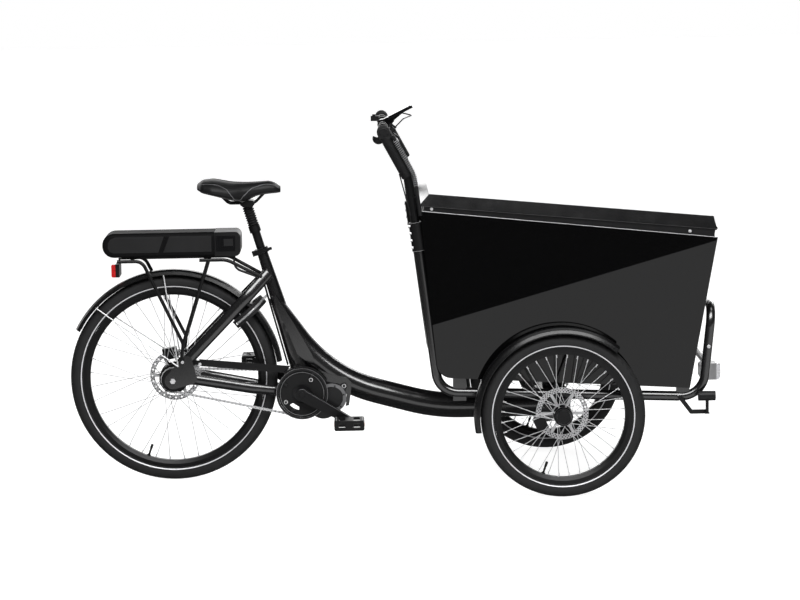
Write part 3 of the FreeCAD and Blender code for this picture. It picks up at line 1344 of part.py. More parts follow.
def fender(name, crown, half_width, drop, spot, start, end):
    """A mudguard shell with an arched section between two angles."""
    outside = [(crown - drop * fall, half_width * wide) for wide, fall in FENDER_SHARES]
    inside = [(crown - drop * fall - s.fender_thickness, (half_width - s.fender_thickness) * wide)
              for wide, fall in reversed(FENDER_SHARES)]
    return turned(name, outside + inside, spot, RIGHT, start, end - start)


def rear_fender():
    crown = s.rear_tyre_radius + s.fender_gap
    shell = fender("rear_fender_shell", crown, s.fender_half_width, s.fender_lip_drop, rear_axle_spot,
                   s.rear_fender_start_angle, s.rear_fender_end_angle)
    foot_y = s.dropout_gap + s.dropout_thickness + s.wire_radius
    foot = (rear_x + s.wire_foot_reach, -foot_y, rear_z + s.wire_foot_rise)
    pieces = [shell]
    for name, angle in (("rear", s.wire_rear_angle), ("top", s.wire_top_angle)):
        lip_x, lip_z = spot_around(rear_x, rear_z, angle, crown - s.fender_lip_drop)
        lip = (lip_x, -s.fender_half_width + s.wire_radius, lip_z)
        wire = rod(f"fender_wire_{name}", lip, foot, s.wire_radius)
        pieces += [wire, mirrored(f"fender_wire_{name}_left", wire)]
    return cut("rear_fender", fuse("rear_fender_solid", pieces),
               group("rear_fender_trim", [stays, carrier]))


lock_x, lock_z = spot_around(rear_x, rear_z, s.lock_angle, s.lock_centre)
lock_spot = (lock_x, ZERO, lock_z)
lock_inward = Vector(-math.cos(math.radians(s.lock_angle.value)), 0,
                     -math.sin(math.radians(s.lock_angle.value)))
lock_axis = Vector(lock_inward.z, 0, -lock_inward.x)
LOCK_TURN = Rotation(lock_inward, Vector(0, -1, 0), lock_axis, "ZXY")
lock_middle = (s.lock_inner + s.lock_outer) / 2
bolt_start = s.lock_gap_angle / 2 + s.lock_bolt_inset
knob_angle = bolt_start + s.lock_bolt_angle - s.lock_bolt_inset * 2


def lock_angle_turn(angle):
    """The lock's own directions, turned to an angle from inward."""
    return LOCK_TURN.multiply(Rotation(Vector(0, 0, 1), angle.value))


def ring_lock():
    """A horseshoe round the tyre with a channel for its bolt and a slot for the bolt's knob."""
    depth = s.lock_half_depth
    shoe = spun("lock_shoe",
                [(s.lock_inner, -depth), (s.lock_outer, -depth), (s.lock_outer, depth),
                 (s.lock_inner, depth)],
                lock_spot, lock_angle_turn(s.lock_gap_angle / 2), HALF_TURN * 2 - s.lock_gap_angle)
    pieces = [shoe]
    for name, side in SIDES.items():
        lug = bind(add("Part::Cylinder", f"lock_lug_{name}"), Radius=s.lock_lug_radius, Height=depth * 3)
        pieces.append(place(lug,
                            (lock_x + s.lock_lug_offset * cosine(s.lock_angle), s.lock_lug_spread * side,
                                  lock_z + s.lock_lug_offset * sine(s.lock_angle)), LOCK_TURN))
    channel = bind(add("Part::Torus", "lock_channel"), Radius1=lock_middle,
                   Radius2=s.lock_bolt_radius + s.lock_channel_gap)
    place(channel, lock_spot, LOCK_TURN)
    half_slot = s.lock_knob_radius + s.lock_channel_gap
    slot_start = knob_angle - s.lock_travel_angle - s.lock_slot_angle
    slot = spun("lock_slot", [(lock_middle, -half_slot), (s.lock_outer + s.overrun, -half_slot),
                              (s.lock_outer + s.overrun, half_slot), (lock_middle, half_slot)],
                lock_spot, lock_angle_turn(slot_start), s.lock_travel_angle + s.lock_slot_angle * 2)
    return cut("ring_lock", fuse("lock_solid", pieces), group("lock_cuts", [channel, slot, stays]))


def lock_bolt():
    """The lock's round bolt, bent to the ring, with a knob to push it by."""
    arc = bind(add("Part::Torus", "lock_bolt_arc"), Radius1=lock_middle, Radius2=s.lock_bolt_radius,
               Angle3=s.lock_bolt_angle)
    place(arc, lock_spot, lock_angle_turn(bolt_start))
    knob = bind(add("Part::Cylinder", "lock_knob"), Radius=s.lock_knob_radius,
                Height=s.lock_knob_reach - lock_middle)
    turn = lock_angle_turn(knob_angle)
    outward = turn.multVec(Vector(1, 0, 0))
    flat = lock_middle * cosine(knob_angle)
    wide = lock_middle * sine(knob_angle)
    place(knob, (lock_x - flat * cosine(s.lock_angle), -wide, lock_z - flat * sine(s.lock_angle)),
          Rotation(Vector(0, 0, 1), outward))
    return fuse("lock_bolt", [arc, knob])


def caliper(name, x, z, angle, y_low, y_high, disc_low, disc_high):
    """A brake caliper astride a rotor's edge, at an angle from the axle."""
    radius = s.caliper_centre
    body = radial_bar(f"{name}_body", x, z, angle, radius - s.caliper_depth / 2,
                      radius + s.caliper_depth / 2,
                      s.caliper_length, y_low, y_high)
    slot = cross_cylinder(f"{name}_slot", s.rotor_radius + s.caliper_slot, x, z, disc_low - s.caliper_gap,
                          disc_high + s.caliper_gap)
    return cut(name, body, slot)


def rear_caliper():
    rotor_low = s.rear_hub_half
    rotor_high = rotor_low + s.rotor_thickness
    low = rotor_low - s.caliper_half_width
    high = rotor_high + s.caliper_half_width
    body = caliper("rear_caliper_body", rear_x, rear_z, s.rear_caliper_angle, low, high, rotor_low,
                   rotor_high)
    arm_x = rear_x + s.seat_stay_reach
    body_x, body_z = spot_around(rear_x, rear_z, s.rear_caliper_angle, s.caliper_centre)
    half = s.caliper_arm / 2
    arm = block("rear_caliper_arm", (body_x, high - s.caliper_half_width / 2, body_z - half),
                (arm_x, s.dropout_gap, body_z + half))
    return cut("rear_caliper", fuse("rear_caliper_solid", [body, arm]), stays)


def frame_cables():
    """Two cables from the dock down behind the seat tube to the motor."""
    lines = []
    for name, side in SIDES.items():
        y = s.cable_spread * side
        spots = [(rear_x + s.dock_front - s.cable_dock_back, y, tray_low),
                 (rear_x + s.dock_front - s.cable_dock_back, y, tray_low - s.cable_drop)]
        for rise in (carrier_height - crank_z - s.cable_fall, s.cable_low_rise):
            x, _, z = seat_spot(rise)
            share = (seat_tube_top - rise) / (seat_tube_top - s.seat_tube_bottom)
            radius = s.seat_tube_top_radius + (s.seat_tube_bottom_radius - s.seat_tube_top_radius) * share
            spots.append((x - radius - s.cable_standoff, y, z))
        lines.append(tube(f"frame_cable_{name}", spots, [s.cable_bend, s.cable_bend], s.cable_radius))
    return group("frame_cables", lines)


mudguard = rear_fender()
ring_lock()
lock_bolt()
rear_caliper()
frame_cables()


# Front frame

LEG_TURN = Rotation(Vector(0, 1, 0), -s.leg_lean.value)


def leg_spot(rise, y, ahead=ZERO):
    """A place on a side tube's leg at a height above the front axle, or ahead of it."""
    return front_x - s.leg_back - (rise - s.leg_foot_rise) * tangent(s.leg_lean) + ahead, y, front_z + rise


def along_leg(rise, length):
    """The height above the front axle of a place further along the leg."""
    return rise + length * cosine(s.leg_lean)


def leg_cylinder(name, radius, rise, length, y):
    bar = bind(add("Part::Cylinder", name), Radius=radius, Height=length)
    return place(bar, leg_spot(rise, y), LEG_TURN)


run_end = (front_x + s.run_end, front_z + s.run_end_rise)


def side_tubes():
    """A bent tube a side, with a clamp at its top for the handlebar."""
    y = -s.tube_spread
    corner = leg_spot(s.leg_foot_rise, y)
    pieces = [tube("side_tube", [leg_spot(s.leg_top_rise, y), corner, (run_end[0], y, run_end[1])],
                   [s.leg_bend], s.tube_radius)]
    sleeve_rise = along_leg(s.leg_top_rise, -s.clamp_height)
    sleeve_radius = s.tube_radius + s.clamp_wall
    pieces.append(leg_cylinder("clamp_sleeve", sleeve_radius, sleeve_rise, s.clamp_height, y))
    count = round(s.clamp_bolt_count.value)
    for number in range(count):
        rise = along_leg(sleeve_rise, s.clamp_height * (number + 0.5) / s.clamp_bolt_count)
        x, _, z = leg_spot(rise, y)
        pieces.append(cylinder(f"clamp_bolt_{number}", s.clamp_bolt, sleeve_radius + s.clamp_ear,
                               (x - sleeve_radius - s.clamp_ear, y - s.clamp_bolt_offset, z), "x"))
    depth = s.leg_bore_depth
    bore = leg_cylinder("leg_bore", s.bar_radius + s.run_clearance, along_leg(s.leg_top_rise, -depth),
                        depth + s.overrun, y)
    return pair("side_tubes", cut("side_tube_right", fuse("side_tube_solid", pieces), bore))


def bumper(tubes):
    """A loop from one side tube to the other, with a lower cross bar."""
    y = -s.tube_spread
    right = [(run_end[0], y, run_end[1]), (front_x + s.bumper_foot, y, front_z + s.bumper_foot_rise),
             (front_x + s.bumper_top, y, front_z + s.bumper_top_rise)]
    spots = right + across_middle(reversed(right))
    loop = tube("bumper_loop", spots, [s.bumper_bend, s.bumper_corner, s.bumper_corner, s.bumper_bend],
                s.bumper_radius)
    bar = cross_cylinder("bumper_bar", s.bumper_bar_radius, front_x + s.bumper_bar_ahead,
                         front_z + s.bumper_bar_rise, y, -y)
    return cut("bumper", fuse("bumper_solid", [loop, bar]), tubes)


# Outer corners of the box, as pairs of x and z
box_rear_top = (front_x - s.box_top_rear, front_z + s.box_top_rear_rise)
box_front_top = (front_x + s.box_top_front, front_z + s.box_top_front_rise)
box_rear_low = (front_x - s.box_low_rear, front_z + s.box_low_rear_rise)
box_front_low = (front_x + s.box_low_front, front_z + s.box_low_front_rise)
lid_rear_low = (front_x - s.lid_rear, front_z + s.lid_rear_rise)
lid_front_low = (front_x + s.lid_front, front_z + s.lid_front_rise)


def between(start, end, share):
    """A place part of the way between two places."""
    return tuple(low + (high - low) * share for low, high in zip(start, end))


def on_line(start, end, x):
    """The place on a line at a given x."""
    return x, start[1] + (end[1] - start[1]) * ((x - start[0]) / (end[0] - start[0]))


def floor_line(x):
    return on_line(box_rear_low, box_front_low, x)


def rim_line(x):
    return on_line(box_rear_top, box_front_top, x)


def lid_line(x):
    return on_line(lid_rear_low, lid_front_low, x)


def axle_beam(tubes, loop):
    """The cross beam with the steering pin, the stub axles on their plates and the rests for the box."""
    low = front_z + s.beam_bottom_rise
    high = low + s.beam_height
    beam_back = front_x - s.beam_rear
    beam_ahead = front_x + s.beam_front
    beam = block("beam_bar", (beam_back, -s.plate_outer, low), (beam_ahead, s.plate_outer, high))
    head_top = front_z + s.head_top_rise
    head_low = front_z - s.head_bottom_drop
    cap_top = head_low - s.cap_gap
    cap_low = cap_top - s.pin_cap_height
    pieces = [
        beam,
        cylinder("beam_bearing", s.pin_cap_radius, low - head_top, (kingpin_x, ZERO, head_top), "z"),
        cylinder("kingpin", s.kingpin_radius, low - cap_low, (kingpin_x, ZERO, cap_low), "z"),
        cylinder("kingpin_cap", s.pin_cap_radius, s.pin_cap_height, (kingpin_x, ZERO, cap_low), "z"),
        slab("beam_rest",
             [(beam_back, high), (beam_ahead, high), floor_line(beam_ahead), floor_line(beam_back)],
             s.saddle_half_width * 2),
    ]
    plate_x = front_x - s.plate_rear
    plate_z = front_z - s.plate_drop
    right = [
        block("stub_plate", (plate_x, -s.plate_outer, plate_z),
              (front_x + s.plate_front, -s.plate_inner, front_z + s.plate_top_rise)),
        cross_cylinder("stub_axle", s.stub_radius, front_x, front_z,
                       -half_track - s.front_hub_outer + s.cap_gap, -s.plate_inner),
        cross_cylinder("stub_collar", s.stub_shoulder, front_x, front_z,
                       -half_track + s.front_hub_inner + s.cap_gap, -s.plate_outer),
    ]
    stub = fuse("stub_right", right)
    pieces += [stub, mirrored("stub_left", stub)]
    solid = cut("beam_solid", fuse("beam_whole", pieces), tubes)
    rests = []
    half_pad = s.pad_length / 2
    for name, x in (("front", front_x + s.front_pad_ahead), ("rear", front_x - s.rear_pad_back)):
        pad = slab(f"box_pad_{name}", [(x - half_pad, run_end[1]), (x + half_pad, run_end[1]),
                                       floor_line(x + half_pad), floor_line(x - half_pad)],
                   s.pad_width, -s.tube_spread)
        trimmed = cut(f"box_pad_{name}_right", pad, group(f"box_pad_{name}_trim", [tubes, loop]))
        rests += [trimmed, mirrored(f"box_pad_{name}_left", trimmed)]
    return group("axle_beam", [solid] + rests)


tubes = side_tubes()
loop = bumper(tubes)
axle_beam(tubes, loop)


# Box

def box_sides():
    """Two side panels with a rounded lower rear corner."""
    middle = s.box_half_width - s.panel_thickness / 2
    corners = [box_rear_top, box_rear_low, box_front_low, box_front_top]
    for name, side in SIDES.items():
        panel = slab(f"side_panel_{name}", corners, s.panel_thickness, middle * side)
        rounded(panel, s.box_corner_round, edge_at(x=box_rear_low[0], z=box_rear_low[1]))
        cut(f"box_side_{name}", panel, tubes)


inner_width = (s.box_half_width - s.panel_thickness) * 2
front_low_inner = floor_line(box_front_low[0] - s.panel_thickness)
front_top_inner = rim_line(box_front_top[0] - s.panel_thickness)
back_low = between(box_rear_low, box_rear_top, s.back_low_share)
back_low_inner = (back_low[0] + s.panel_thickness, back_low[1])
hinge_x = lid_front_low[0] + s.hinge_ahead
hinge_z = lid_front_low[1] - s.hinge_drop


def hinge_leaf(name, shares, y_low, y_high):
    """A leaf of a lid hinge, its outline in shares of the barrel's radius from the pin."""
    corners = [(hinge_x + s.hinge_radius * x_share, hinge_z + s.hinge_radius * z_share) for x_share,
               z_share in shares]
    return slab(name, corners, y_high - y_low, (y_low + y_high) / 2)


def hinge_half(name, shares, y_low, y_high):
    """A barrel and its leaf."""
    barrel = cross_cylinder(f"{name}_barrel", s.hinge_radius, hinge_x, hinge_z, y_low, y_high)
    return [barrel, hinge_leaf(f"{name}_leaf", shares, y_low, y_high)]


# Outlines of the hinge leaves on the box and on the lid
BOX_LEAF_SHARES = ((-2, -5.2), (-0.2, -5.2), (0.67, 0), (-0.67, 0))
LID_LEAF_SHARES = ((-0.67, -0.17), (0.67, 0.17), (-0.33, 3.7), (-2.3, 4), (-2, 1.3))
HINGE_PLACES = {"right": -s.hinge_spread, "left": s.hinge_spread}


def box_rim():
    """A frame on the panels' tops that the lid rests on."""
    def ring(name, inset):
        rear_edge = front_x - s.rim_rear + inset
        front_edge = front_x + s.rim_front - inset
        return slab(name,
                    [rim_line(rear_edge), rim_line(front_edge), lid_line(front_edge), lid_line(rear_edge)],
                    (s.rim_half_width - inset) * 2)
    opening = block("rim_opening",
                    (front_x - s.rim_rear + s.rim_bar, s.rim_bar - s.rim_half_width,
                     front_z + s.box_low_front_rise),
                    (front_x + s.rim_front - s.rim_bar, s.rim_half_width - s.rim_bar,
                     lid_rear_low[1] + s.overrun))
    return cut("box_rim", ring("rim_bars", ZERO), opening)


def box_panels(rim):
    """The front with its hinge barrels, the back and the floor."""
    panel = slab("front_panel", [front_low_inner, box_front_low, box_front_top, front_top_inner],
                 inner_width)
    pieces = [panel]
    leaves = []
    for name, y in HINGE_PLACES.items():
        barrel, leaf = hinge_half(f"box_hinge_{name}", BOX_LEAF_SHARES, y, y + s.hinge_length)
        pieces.append(barrel)
        leaves.append(leaf)
        pieces.append(cross_cylinder(f"hinge_pin_{name}", s.hinge_pin, hinge_x, hinge_z, y - s.hinge_length,
                                     y + s.hinge_length))
    solid = fuse("box_front_solid", pieces + leaves)
    cut("box_front", solid, rim)
    back_top = rim_line(box_rear_top[0] + s.panel_thickness)
    back = slab("back_panel", [back_low, back_low_inner, back_top, box_rear_top], inner_width)
    depth = s.leg_bore_depth
    hollow = leg_cylinder("leg_hollow", s.bar_radius + s.run_clearance, along_leg(s.leg_top_rise, -depth), depth,
                          -s.tube_spread)
    cut("box_back", back, group("box_back_trim", [tubes, pair("leg_hollows", hollow)]))
    floor_rear = between(box_rear_low, box_front_low, s.floor_rear_share)
    floor_front = between(front_low_inner, front_top_inner,
                          s.floor_thickness / (front_top_inner[1] - front_low_inner[1]))
    floor = slab("floor_panel", [back_low, floor_rear, front_low_inner, floor_front,
                                 (floor_rear[0],
                                  floor_rear[1] + s.floor_thickness), back_low_inner], inner_width)
    cut("box_floor", floor, tubes)


def lid_solid(name, low_inset, high_inset, low_lift, high_drop):
    """The lid's tapered shape, or the hollow inside it."""
    rear_low = lid_rear_low[0] + low_inset
    front_low = lid_front_low[0] - low_inset
    rear_high = lid_rear_low[0] + s.lid_rear_inset + high_inset
    front_high = lid_front_low[0] - s.lid_front_inset - high_inset
    low_half = s.box_half_width - low_inset
    high_half = s.box_half_width - s.lid_side_inset - high_inset
    wires = []
    for half, places, lift in ((low_half, (rear_low, front_low), low_lift),
                               (high_half, (rear_high, front_high), s.lid_height - high_drop)):
        (rear_place, rear_height), (front_place, front_height) = (lid_line(x) for x in places)
        corners = [(rear_place, -half, rear_height + lift), (front_place, -half, front_height + lift),
                   (front_place, half, front_height + lift), (rear_place, half, rear_height + lift)]
        wire = add("Part::Feature", f"{name}_wire_{len(wires)}")
        points = [vector(corner) for corner in corners]
        wire.Shape = Part.makePolygon(points + points[:1])
        wires.append(wire)
    loft = add("Part::Loft", name)
    loft.Sections = wires
    loft.Solid = True
    loft.Ruled = True
    return loft


def lid():
    shell = cut("lid_shell", lid_solid("lid_outside", ZERO, ZERO, ZERO, ZERO),
                lid_solid("lid_inside", s.lid_lip, s.lid_wall * 2, -s.overrun, s.lid_wall))
    pieces = [shell]
    for name, y in HINGE_PLACES.items():
        pieces += hinge_half(f"lid_hinge_{name}", LID_LEAF_SHARES, y - s.hinge_length, y - s.hinge_gap)
    bores = [cross_cylinder(f"lid_bore_{name}", s.hinge_pin + s.run_clearance, hinge_x, hinge_z,
                            y - s.hinge_length * 2, y)
             for name, y in HINGE_PLACES.items()]
    return cut("lid", fuse("lid_whole", pieces), group("lid_bores", bores))


box_sides()
box_panels(box_rim())
lid()


# Front mudguards, brakes and lamps

def front_fenders():
    """A mudguard over each front wheel on two struts from the stub plate."""
    spot = front_axle_spot(RIGHT)
    crown = s.front_tyre_radius + s.front_fender_gap
    shell = fender("front_fender_shell", crown, s.front_fender_half, s.front_fender_drop, spot,
                   s.front_fender_start_angle, s.front_fender_end_angle)
    foot = (front_x - s.bracket_reach, -s.bracket_spread, front_z + s.bracket_rise)
    pieces = [shell,
              cross_cylinder("fender_foot", s.fender_bracket, foot[0], foot[2],
                             -s.bracket_spread - s.fender_bracket, -s.plate_outer)]
    for name, angle in (("rear", s.bracket_rear_angle), ("front", s.bracket_front_angle)):
        lip_x, lip_z = spot_around(front_x, front_z, angle, crown - s.front_fender_drop)
        lip = (lip_x, -half_track + s.front_fender_half - s.fender_thickness, lip_z)
        pieces.append(rod(f"fender_strut_{name}", foot, lip, s.fender_bracket / 2))
    return pair("front_fenders", fuse("front_fender_right", pieces))


def front_calipers():
    rotor_high = -half_track + s.front_rotor_inset
    rotor_low = rotor_high - s.rotor_thickness
    high = rotor_high + s.caliper_half_width
    low = rotor_low - s.caliper_half_width
    body = caliper("front_caliper_body", front_x, front_z, s.front_caliper_angle, low, high, rotor_low,
                   rotor_high)
    plate_x = front_x - s.plate_rear
    plate_z = front_z - s.plate_drop
    arm = block("front_caliper_arm", (plate_x, high - s.caliper_half_width / 2, plate_z),
                (plate_x + s.caliper_arm, -s.plate_outer, plate_z + s.caliper_arm))
    return pair("front_calipers", fuse("front_caliper_right", [body, arm]))


def front_lamps(loop, tubes):
    """The head lamp under the bumper's lower bar and a small lamp at each side."""
    front_end = front_x + s.lamp_reach
    back_end = front_end - s.lamp_length
    low = front_z + s.lamp_rise
    high = low + s.lamp_height
    lamp = upright_box("head_lamp_body", back_end, front_end, low, high, s.lamp_half_width)
    rounded(lamp, s.lamp_round, is_cross)
    bar_x = front_x + s.bumper_bar_ahead
    bar_z = front_z + s.bumper_bar_rise
    lamp_arm = hull_plate("head_lamp_arm",
                          [(bar_x, bar_z, s.lamp_arm),
                           ((back_end + front_end) / 2, high - s.lamp_arm, s.lamp_arm)],
                          s.lamp_arm, ZERO)
    head_lamp = cut("head_lamp", fuse("head_lamp_solid", [lamp, lamp_arm]), loop)

    out = -s.side_lamp_spread
    lamp_z = front_z + s.side_lamp_rise
    body = cylinder("side_lamp_body", s.side_lamp_radius, s.side_lamp_front - s.side_lamp_rear,
                    (front_x + s.side_lamp_rear, out, lamp_z), "x")
    foot_z = front_z - s.side_lamp_elbow_drop
    half_arm = s.side_lamp_arm_height / 2
    arm_y = -s.tube_spread - s.tube_radius - s.side_lamp_arm / 2
    bolt_spot = (front_x + s.side_lamp_foot, run_end[1])
    elbow = (front_x + s.side_lamp_elbow, foot_z)
    toe_x = front_x + s.side_lamp_foot_ahead
    pieces = [
        body,
        hull_plate("side_lamp_strap", [bolt_spot + (half_arm,), elbow + (half_arm,)], s.side_lamp_arm,
                   arm_y),
        hull_plate("side_lamp_toe", [elbow + (half_arm,), (toe_x, foot_z, half_arm)], s.side_lamp_arm,
                   arm_y),
        block("side_lamp_step", (toe_x - half_arm, out - half_arm, foot_z - s.side_lamp_arm),
              (toe_x + half_arm, arm_y, foot_z)),
        cylinder("side_lamp_stem", s.side_lamp_post, lamp_z - foot_z, (toe_x, out, foot_z), "z"),
    ]
    side_lamp = cut("side_lamp_right", fuse("side_lamp_solid", pieces),
                    group("side_lamp_trim", [loop, tubes]))
    return group("front_lamps", [head_lamp, side_lamp, mirrored("side_lamp_left", side_lamp)])


front_fenders()
front_calipers()
front_lamps(loop, tubes)


# Handlebar

bar_x = front_x - s.bar_top_back
bar_z = front_z + s.bar_top_rise
bar_knee = leg_spot(s.bar_bend_rise, -s.tube_spread)
upper_run = Vector(plain(bar_knee[0] - bar_x), 0, plain(bar_knee[2] - bar_z)).normalize()
upper_reach = bar_knee[0] - bar_x
upper_rise = bar_knee[2] - bar_z
upper_length = root(upper_reach * upper_reach + upper_rise * upper_rise)
down_x = (bar_knee[0] - bar_x) / upper_length
down_z = (bar_knee[2] - bar_z) / upper_length


def upper_spot(length, ahead, y):
    """A place down a leg's upper run from the cross bar, and ahead of that run."""
    return bar_x + down_x * length - down_z * ahead, y, bar_z + down_z * length + down_x * ahead


def handlebar():
    y = -s.tube_spread
    foot = leg_spot(along_leg(s.leg_top_rise, -s.bar_insert), y)
    leg = tube("bar_leg", [foot, bar_knee, (bar_x, y, bar_z)], [s.bar_bend], s.bar_radius)
    half = s.tube_spread + s.cross_overhang
    bar = cross_cylinder("cross_bar", s.cross_radius, bar_x, bar_z, -half, half)
    return fuse("handlebar", [leg, mirrored("bar_leg_left", leg), bar])


def grips(bar):
    """Sleeves over the legs' upper runs, rounded over the cross bar."""
    y = -s.tube_spread
    sleeve = bind(add("Part::Cylinder", "grip_sleeve"), Radius=s.grip_radius, Height=s.grip_length)
    place(sleeve, (bar_x, y, bar_z), Rotation(Vector(0, 0, 1), upper_run))
    head = cross_cylinder("grip_head", s.grip_radius, bar_x, bar_z, y - s.grip_radius, y + s.grip_radius)
    return pair("grips", cut("grip_right", fuse("grip_solid", [sleeve, head]), bar))


def display():
    """A flat display on a bracket that is clamped to the cross bar."""
    half_ring = s.display_ring_width / 2
    ring = cross_cylinder("display_clamp", s.display_ring, bar_x, bar_z, -half_ring, half_ring)
    turn = Rotation(Vector(0, 1, 0), -s.display_tilt.value)
    panel = bind(add("Part::Box", "display_panel"), Length=s.display_length, Width=s.display_width,
                 Height=s.display_thickness)
    corner = (bar_x + s.display_back, -s.display_width / 2, bar_z + s.display_lift)
    place(panel, corner, turn)
    run = s.display_length * s.display_arm_share
    inset = s.display_thickness / 3
    far = (corner[0] + run * cosine(s.display_tilt) - inset * sine(s.display_tilt),
           corner[2] + run * sine(s.display_tilt) + inset * cosine(s.display_tilt))
    half_arm = s.display_arm_width / 2
    root_radius = (s.display_ring + s.cross_radius) / 2
    arm = hull_plate("display_arm", [
        (bar_x, bar_z, root_radius), (far[0], far[1], s.display_thickness / 2)], half_arm * 2, ZERO)
    bore = cross_cylinder("display_bore", s.cross_radius, bar_x, bar_z, -half_ring - s.overrun,
                          half_ring + s.overrun)
    bracket = cut("display_bracket", fuse("display_bracket_solid", [ring, arm]),
                  group("display_bracket_cuts", [panel, bore]))
    return group("display", [panel, bracket])


BRAKE_TURN = Rotation(Vector(0, 1, 0), s.mount_angle.value)


def brake_spot(reach, y, up):
    """A place in a brake mount's own directions from the cross bar's axis."""
    lean_cos = cosine(s.mount_angle)
    lean_sin = sine(s.mount_angle)
    return bar_x + reach * lean_cos + up * lean_sin, y, bar_z - reach * lean_sin + up * lean_cos


def brake_bar(name, radius, reach, y, low, high):
    """A round bar parallel to a brake lever's pivot."""
    bar = bind(add("Part::Cylinder", name), Radius=radius, Height=high - low)
    return place(bar, brake_spot(reach, y, low), BRAKE_TURN)


def brake_block(name, low, high):
    box = bind(add("Part::Box", name), Length=high[0] - low[0], Width=high[1] - low[1],
               Height=high[2] - low[2])
    return place(box, brake_spot(*low), BRAKE_TURN)


def brake_mount(name, side):
    """A clamp on the cross bar with a fork for the lever and a small tank."""
    y = s.mount_spread * side
    half = s.mount_width / 2
    clamp = cross_cylinder(f"{name}_clamp", s.mount_ring, bar_x, bar_z, y - half, y + half)
    arm_half = s.mount_half
    arm = brake_block(f"{name}_arm", (ZERO, y - arm_half, -arm_half),
                      (s.mount_reach, y + arm_half, arm_half))
    tank = brake_bar(f"{name}_tank", s.tank_radius, s.mount_reach / 2, y, ZERO, s.tank_height)
    slot_half = s.blade_height / 2 + s.fork_gap
    slot = brake_block(f"{name}_slot",
                       (s.pivot_reach - s.blade_radius - s.fork_depth, y - arm_half - s.overrun,
                        -slot_half),
                       (s.mount_reach + s.overrun, y + arm_half + s.overrun, slot_half))
    bore = cross_cylinder(f"{name}_bore", s.cross_radius, bar_x, bar_z, y - half - s.overrun,
                          y + half + s.overrun)
    body = cut(f"{name}_body", fuse(f"{name}_solid", [clamp, arm, tank]),
               group(f"{name}_cuts", [slot, bore]))
    pin = brake_bar(f"{name}_pin", s.blade_pivot, s.pivot_reach, y, -arm_half, arm_half)
    return fuse(name, [body, pin])


def brake_lever(name, side):
    y = s.mount_spread * side
    spot = brake_spot(ZERO, y, ZERO)
    circles = [(s.pivot_reach, ZERO, s.blade_radius),
               (s.pivot_reach + s.blade_tip_ahead, s.lever_blade_length * side, s.blade_tip_radius)]
    blade = hull_solid(f"{name}_blade", circles, s.blade_height, spot, BRAKE_TURN)
    bore = brake_bar(f"{name}_bore", s.blade_pivot + s.run_clearance, s.pivot_reach, y, -s.overrun,
                     s.overrun)
    return cut(name, blade, bore)


button_x = bar_x - s.switch_back + s.button_radius * 2
button_low = bar_z + s.switch_low + s.switch_height - s.button_length + s.button_travel * 2


def brake_mounts():
    """Both lever mounts, the assist switch and the bell."""
    mounts = [brake_mount(f"brake_mount_{name}", side) for name, side in SIDES.items()]
    y = s.switch_spread
    half = s.switch_width / 2
    ring = ring_disc("switch_clamp", bar_x, bar_z, s.mount_ring, s.cross_radius, y - half, y + half)
    low = bar_z + s.switch_low
    case = block("switch_case", (bar_x - s.switch_back, y - half, low),
                 (bar_x - s.cross_radius, y + half, low + s.switch_height))
    well = cylinder("switch_well", s.button_radius + s.button_gap, s.button_length + s.overrun,
                    (button_x, y, button_low - s.button_travel - s.button_gap), "z")
    switch = cut("assist_switch", fuse("switch_solid", [ring, case]), well)
    bell_y = -s.bell_spread
    bell_ring = ring_disc("bell_clamp", bar_x, bar_z, s.mount_ring, s.cross_radius,
                          bell_y - s.bell_post * 2, bell_y + s.bell_post * 2)
    away = Vector(-s.bell_back.value, 0, -s.bell_drop.value).normalize()
    dome_spot = (bar_x - s.bell_back, bell_y, bar_z - s.bell_drop)
    dome = bind(add("Part::Sphere", "bell_dome"), Radius=s.bell_radius)
    dome.Angle1 = 0
    place(dome, dome_spot, Rotation(Vector(0, 0, 1), away))
    near = vector((bar_x, bell_y, bar_z)) + away * ((s.mount_ring.value + s.cross_radius.value) / 2)
    post = add("Part::Feature", "bell_post")
    run = vector(dome_spot) - near
    post.Shape = Part.makeCylinder(s.bell_post.value, run.Length + s.bell_post.value, near, away)
    bell = fuse("bell", [bell_ring, dome, post])
    return group("brake_mounts", mounts + [switch, bell])


def cable_clip(name, start, end):
    """A small arm that holds a cable off a leg."""
    return rod(name, start, end, s.clip_radius)


